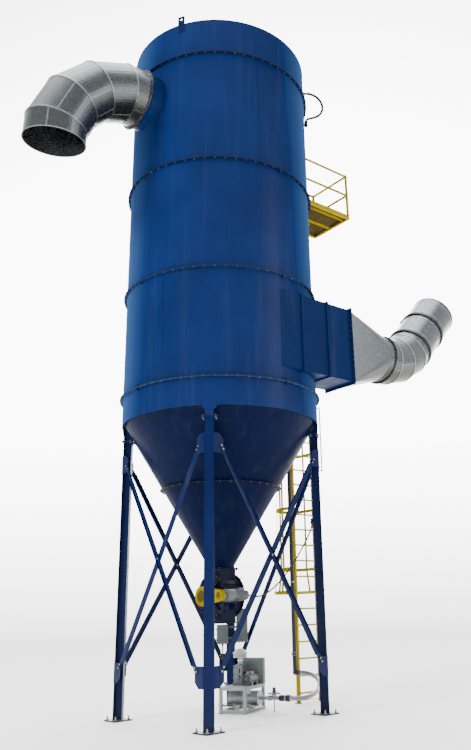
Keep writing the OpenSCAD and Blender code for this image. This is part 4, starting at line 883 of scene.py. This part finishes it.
# gearmotors: fins and cowls, then the airlock's own
def motor_fins(b, x0, x1, bare):
    """36 fins round a motor body, but for the angles that are left bare."""
    for a in range(0, 360, 10):
        if not bare(a):
            b.block(x0, x1, -0.0016, 0.0016, 0.082, 0.094, 0.0005, rot(a, "X"))


def motor_cowl(b, x, r):
    """Fan cowl end: ribs that lie over a black disc of painted shade, which is made separately."""
    f = along((x, 0, 0), "-X")
    for rr in (0.28, 0.5, 0.72):
        b.ring(r * rr, r * rr + 0.004, 0.0, 0.0035, f, 40, 0.0005)
    for k in range(8):
        b.block(r * 0.16, r * 0.82, -0.002, 0.002, 0.0, 0.0035, 0.0005, f @ rot(45 * k, "Z"))
    b.rod(r * 0.16, 0, 0.004, f, 24)
    bolt_ring(b, f @ T((0, 0, -0.012)), r * 0.93, 4, 0.006)


GEARMOTOR = AT_LOCK @ T((0, SPROCKET_GAP, 0))
b = Build(GEARMOTOR)
motor_fins(b, -0.135, 0.105, lambda a: a < 40 or a > 320)
for x in (0.118, 0.292):
    b.ring(0.097, 0.104, x - 0.006, x + 0.006, AXIS["X"], 48)
bolt_ring(b, along((0.300, 0, 0), "X"), 0.080, 8, 0.010)
b.block(-0.093, 0.023, -0.048, 0.048, 0.112, 0.1215, 0.002)
for x in (-0.082, 0.012):
    for y in (-0.037, 0.037):
        b.bolt(0.005, T((x, y, 0.1215)), washer=False)
b.make("gearmotor_fins", "motor_grey")
b = Build(GEARMOTOR)
# painted shade: a black disc under the cowl ribs, for the dark inside of the fan cowl
b.rod(0.0745, -0.0005, 0.001, along((-0.172, 0, 0), "-X"), 40)
b.make("gearmotor_cowl_shade", "painted_shade_black")
b = Build(GEARMOTOR)
motor_cowl(b, -0.173, 0.078)
b.make("gearmotor_cowl", "motor_grey")
b = Build(AT_LOCK)
b.sweep([(-0.223, 0.262 + y, 0.286 + z) for y, z, _ in circle(0.020, 24)], 0.006, 10, closed=True)
b.make("gearmotor_eye", "bright_steel")

# sprocket hubs
for name, y, r, bore, body in (("driven_hub", 0.0, 0.048, 0.030, "airlock_rotor"),
                               ("drive_hub", SPROCKET_GAP, 0.030, 0.020, "motor_sprocket")):
    b = Build(AT_LOCK @ T((0, y, 0)))
    b.ring(bore * 0.99, r, 0.4065, 0.415, AXIS["X"], 32)
    b.make(name, "bright_steel", body)

# roof gearmotor
b = Build(T((0, 0, 12.908)))
for k in range(30):
    b.block(0.093, 0.106, -0.0018, 0.0018, 0.215, 0.36, 0.0005, rot(12 * k, "Z"))
bolt_ring(b, I4, 0.165, 4, 0.014, 0.016)
bolt_ring(b, I4, 0.140, 8, 0.010, 0.190)
b.lathe([(0.090, 0.37), (0.100, 0.372), (0.100, 0.425), (0.080, 0.4195), (0.0, 0.4195), (0.0, 0.412),
         (0.09, 0.41)], I4, 48)
b.block(0.092, 0.135, -0.05, 0.05, 0.25, 0.34, 0.003)
b.make("roof_drive_trim", "grey_paint")

# ---------------------------------------------------------------- cabinets
DOOR_Y = 1.384
for side, x0, x1, z0, z1, latch_x, entries in (("left", -0.233, -0.028, 1.105, 1.445, -0.053, (0, 2)),
                                               ("right", 0.140, 0.350, 1.130, 1.730, 0.165, (0, 1, 2))):
    body, middle = "door_" + side, (z0 + z1) / 2
    b = Build()
    b.sweep([(x, DOOR_Y, z) for x, z in ((x0 + 0.012, z0 + 0.012), (x1 - 0.012, z0 + 0.012),
                                         (x1 - 0.012, z1 - 0.012), (x0 + 0.012, z1 - 0.012))],
            0.0022, 6, closed=True)
    for k in range(5):
        z = z0 + 0.035 + 0.012 * k
        b.block(x0 + 0.05, x1 - 0.05, DOOR_Y - 0.0025, DOOR_Y + 0.0005, z, z + 0.005, 0.001)
    b.make("cabinet_%s_trim" % side, "grey_paint", body)
    b = Build()
    b.block(latch_x - 0.006, latch_x + 0.006, 1.3655, 1.370, middle - 0.035, middle + 0.035, 0.002)
    for z in (z1 - 0.06, z1 - 0.10):
        b.ring(0.0, 0.011, 0.0, 0.008, along(((x0 + x1) / 2 + 0.03, DOOR_Y, z), "-Y"), 20)
    b.make("cabinet_%s_latch" % side, "dark_steel", body)
    b = Build()
    b.prism([(x0 - 0.004, 1.374), (x1 + 0.004, 1.374), (x1 + 0.004, 1.544), (x0 - 0.004, 1.544)],
            z1, z1 + 0.004)
    for k in entries:
        b.nut(0.013, 0.012, along((x0 + 0.045 + 0.06 * k, 1.47, z0), "-Z"))
    b.make("cabinet_%s_top" % side, "grey_paint")

# ---------------------------------------------------------------- blower package
b = Build(AT_SKID)
for x in (-0.235, 0.235):
    for y in (-0.375, 0.375):
        b.lathe([(0, 0), (0.042, 0), (0.042, 0.004), (0.027, 0.008), (0, 0.008)], T((x, y, 0)), 24)
for x in (-0.2358, 0.2358):
    for way, y in (("-Y", -0.402), ("Y", 0.402)):
        b.bolt(0.008, along((x, y, 0.397), way))
b.make("skid_feet", "mid_grey")
BLOWER = AT_SKID @ T((-0.060, 0.040, 0.610))
b = Build(BLOWER)
for way, y in (("-Y", -0.095), ("Y", 0.095)):
    for dz in (-0.055, 0.055):
        for k in range(8):
            a = math.radians(45 * k + 22)
            b.bolt(0.009, along((0.082 * math.cos(a), y, dz + 0.082 * math.sin(a)), way))
for k in range(7):
    y = -0.066 + 0.022 * k
    for x0, x1 in ((-0.0995, -0.086), (0.086, 0.0995)):
        b.block(x0, x1, y - 0.003, y + 0.003, -0.135, 0.135, 0.001)
for x in (-0.085, 0.085):
    for y in (-0.09, 0.09):
        b.bolt(0.011, T((x, y, -0.144)))
b.make("blower_ribs", "cast_alloy")
b = Build(BLOWER)
b.ring(0.0, 0.016, 0.0, 0.006, along((0.045, -0.1205, -0.055), "-Y"), 24)
b.rod(0.009, 0, 0.02, along((-0.05, -0.11, 0.12), "-Y"), 12)
b.make("blower_plugs", "dark_steel")

# blower motor and belt guard
MOTOR = AT_SKID @ T((0.165, 0, 0.545)) @ rot(90, "Z")
b = Build(MOTOR)
motor_fins(b, -0.120, 0.150, lambda a: a < 42 or a > 318 or 150 < a < 210)
b.block(-0.073, 0.043, -0.053, 0.053, 0.106, 0.1155, 0.002)
for x in (-0.062, 0.032):
    for y in (-0.042, 0.042):
        b.bolt(0.005, T((x, y, 0.1155)), washer=False)
b.make("blower_motor_fins", "cast_alloy")
b = Build(MOTOR)
# painted shade: a black disc under the cowl ribs, for the dark inside of the fan cowl
b.rod(0.070, -0.0005, 0.001, along((-0.178, 0, 0), "-X"), 40)
b.make("blower_cowl_shade", "painted_shade_black")
b = Build(MOTOR)
motor_cowl(b, -0.179, 0.074)
b.make("blower_cowl", "cast_alloy")
b = Build(AT_SKID)
b.block(-0.194, 0.304, 0.284, 0.290, 0.432, 0.869, 0.001)
for k in range(9):
    z = 0.50 + 0.036 * k
    b.block(-0.15, 0.256, 0.3355, 0.3405, z, z + 0.012, 0.002)
    if z > 0.75:
        b.block(-0.15, 0.256, 0.2415, 0.2465, z, z + 0.012, 0.002)
for x in (-0.175, 0.285):
    for z in (0.46, 0.65, 0.845):
        b.bolt(0.007, along((x, 0.336, z), "Y"))
b.make("belt_guard_louvres", "guard_grey")

# silencer line and its valves
TANK = AT_SKID @ T((0, 0.020, 0.220))
b = Build(TANK)
for x in (-0.238, 0.316):
    b.ring(0.119, 0.1265, x - 0.004, x + 0.004, AXIS["X"], 64)
b.lathe([(0, 0.0), (0.118, 0.0), (0.112, 0.006), (0.070, 0.010), (0.0, 0.011)],
        along((-0.243, 0, 0), "-X"), 48)
b.sweep([(0, y, z) for y, z, _ in circle(0.1185, 64)], 0.004, 8, closed=True)
b.make("silencer_caps", "galvanised_dull")
b = Build(TANK)
b.ring(0.046, 0.0495, 0.732, 0.788, AXIS["X"], 48)
b.ring(0.054, 0.0580, 0.850, 0.922, AXIS["X"], 48)
for x in (0.725, 0.795, 0.835):
    b.ring(0.029, 0.052, x - 0.006, x + 0.006, AXIS["X"], 48)
    bolt_ring(b, along((x + 0.006, 0, 0), "X"), 0.042, 4, 0.006)
b.make("check_valve", "rubber_black")
RELIEF = TANK @ T((0.615, 0, 0))
b = Build(RELIEF)
b.lathe([(0.028, 0.085), (0.036, 0.088), (0.036, 0.112), (0.029, 0.118), (0.029, 0.150), (0.034, 0.153),
         (0.034, 0.168), (0.020, 0.1745), (0.0, 0.1745), (0.0, 0.172), (0.028, 0.166)], I4, 32)
b.make("relief_valve", "valve_blue")
b = Build(RELIEF)
b.lathe([(0.028, 0.083), (0.106, 0.083), (0.109, 0.078), (0.109, 0.070), (0.106, 0.0675),
         (0.044, 0.067), (0.044, 0.066), (0.111, 0.066), (0.113, 0.075), (0.109, 0.086),
         (0.028, 0.087)], I4, 64)
bolt_ring(b, I4, 0.094, 8, 0.008, 0.0855)
b.make("relief_disc", "mid_grey")

# intake filter
FILTER = AT_SKID @ T((-0.060, 0.040, 0.700))
b = Build(FILTER)
inner, outer = circle(0.1165, 120)[::2], circle(0.1215, 120)[1::2]
b.prism([(x, y) for fold in zip(inner, outer) for x, y, _ in fold], 0.194, 0.248)
b.make("filter_pleats", "felt", smooth=False)
b = Build(FILTER)
b.lathe([(0.0, 0.330), (0.0, 0.337), (0.030, 0.336), (0.064, 0.330), (0.129, 0.2735), (0.131, 0.262),
         (0.128, 0.249), (0.125, 0.249), (0.127, 0.262), (0.125, 0.271), (0.061, 0.327)], I4, 72)
b.ring(0.100, 0.123, 0.186, 0.194, I4, 64)
b.rod(0.012, 0.334, 0.3465, I4, 16)
b.make("filter_cap", "white_cap")
b = Build(FILTER @ T((0, 0, 0.060)))
b.ring(0.036, 0.0465, 0.062, 0.088, I4, 40)
b.block(0.045, 0.060, -0.010, 0.010, 0.064, 0.086, 0.002)
b.ring(0.035, 0.0385, 0.10, 0.112, I4, 40)
b.make("filter_clamp", "bright_steel")
b = Build(AT_SKID)
b.block(-0.292, -0.258, -0.124, -0.056, 0.478, 0.4835, 0.002)
b.rod(0.008, 0.0, 0.010, along((-0.275, -0.121, 0.455), "-Y"), 14)
b.make("junction_lid", "mid_grey")

for name, x, z, r, body in (("blower_pulley_nut", -0.060, 0.665, 0.020, "upper_lobe"),
                            ("motor_pulley_nut", 0.165, 0.545, 0.017, "motor_shaft")):
    b = Build(AT_SKID)
    b.nut(r, 0.006, along((x, 0.2975, z), "Y"))
    b.make(name, "bright_steel", body)

# ---------------------------------------------------------------- floor, light
def stage_floor():
    """Pale round floor at z = 0."""
    radii, n = (4.0, 10.0, 25.0, 60.0), 64
    verts = [(0, 0, 0)] + [p for r in radii for p in circle(r, n)]
    faces = [[0, 1 + k, 1 + (k + 1) % n] for k in range(n)]
    for i in range(len(radii) - 1):
        a, c = 1 + i * n, 1 + (i + 1) * n
        faces += [[a + k, c + k, c + (k + 1) % n, a + (k + 1) % n] for k in range(n)]
    mesh = bpy.data.meshes.new("floor")
    mesh.from_pydata(verts, [], faces)
    t, s, pos = start("floor_pale")
    patches = remap(t, noise(t, pos, 0.5, 3), 0.3, 0.7, 0, 1)
    c = mix(t, patches, (0.94, 0.94, 0.94), (0.96, 0.96, 0.96))
    t.links.new(c, s.inputs["Base Color"])
    s.inputs["Roughness"].default_value = 0.75
    mesh.materials.append(MATS["floor_pale"])
    o = bpy.data.objects.new("floor", mesh)
    SCENE.collection.objects.link(o)


def area_light(name, at, aim, size, power, size_y, glossy=True):
    data = bpy.data.lights.new(name, "AREA")
    data.energy, data.size = power, size
    data.shape, data.size_y = "RECTANGLE", size_y
    o = bpy.data.objects.new(name, data)
    SCENE.collection.objects.link(o)
    o.location = at
    o.visible_glossy = glossy
    o.rotation_euler = (Vector(aim) - Vector(at)).to_track_quat("-Z", "Y").to_euler()


def studio_world():
    """Bright ahead of the camera and overhead, dim behind it and at the far left."""
    world = bpy.data.worlds.new("studio")
    SCENE.world = world
    world.use_nodes = True
    t = world.node_tree
    back = t.nodes["Background"]
    back.inputs[0].default_value = (1.0, 1.0, 1.0, 1.0)
    way = t.nodes.new("ShaderNodeTexCoord").outputs["Generated"]
    side, ahead, high = (part_of(t, way, axis) for axis in range(3))
    room = math_node(t, "MULTIPLY", remap(t, ahead, -0.35, 0.5, 0.36, 1.5),
                     remap(t, side, -0.97, -0.72, 0.25, 1.0))
    backdrop = math_node(t, "MULTIPLY", remap(t, ahead, 0.55, 0.82, 0.0, 9.0),
                         remap(t, high, -0.02, 0.22, 0.22, 1.0))
    glow = math_node(t, "ADD", backdrop, remap(t, high, 0.78, 0.95, 0.0, 4.0))
    t.links.new(math_node(t, "ADD", room, glow), back.inputs[1])


stage_floor()
studio_world()
area_light("key", (-15, -15, 19), (0, 0, 7), 5, 5600, 5, glossy=False)
area_light("side", (17, -6, 12), (0, 0, 7), 4, 500, 12)
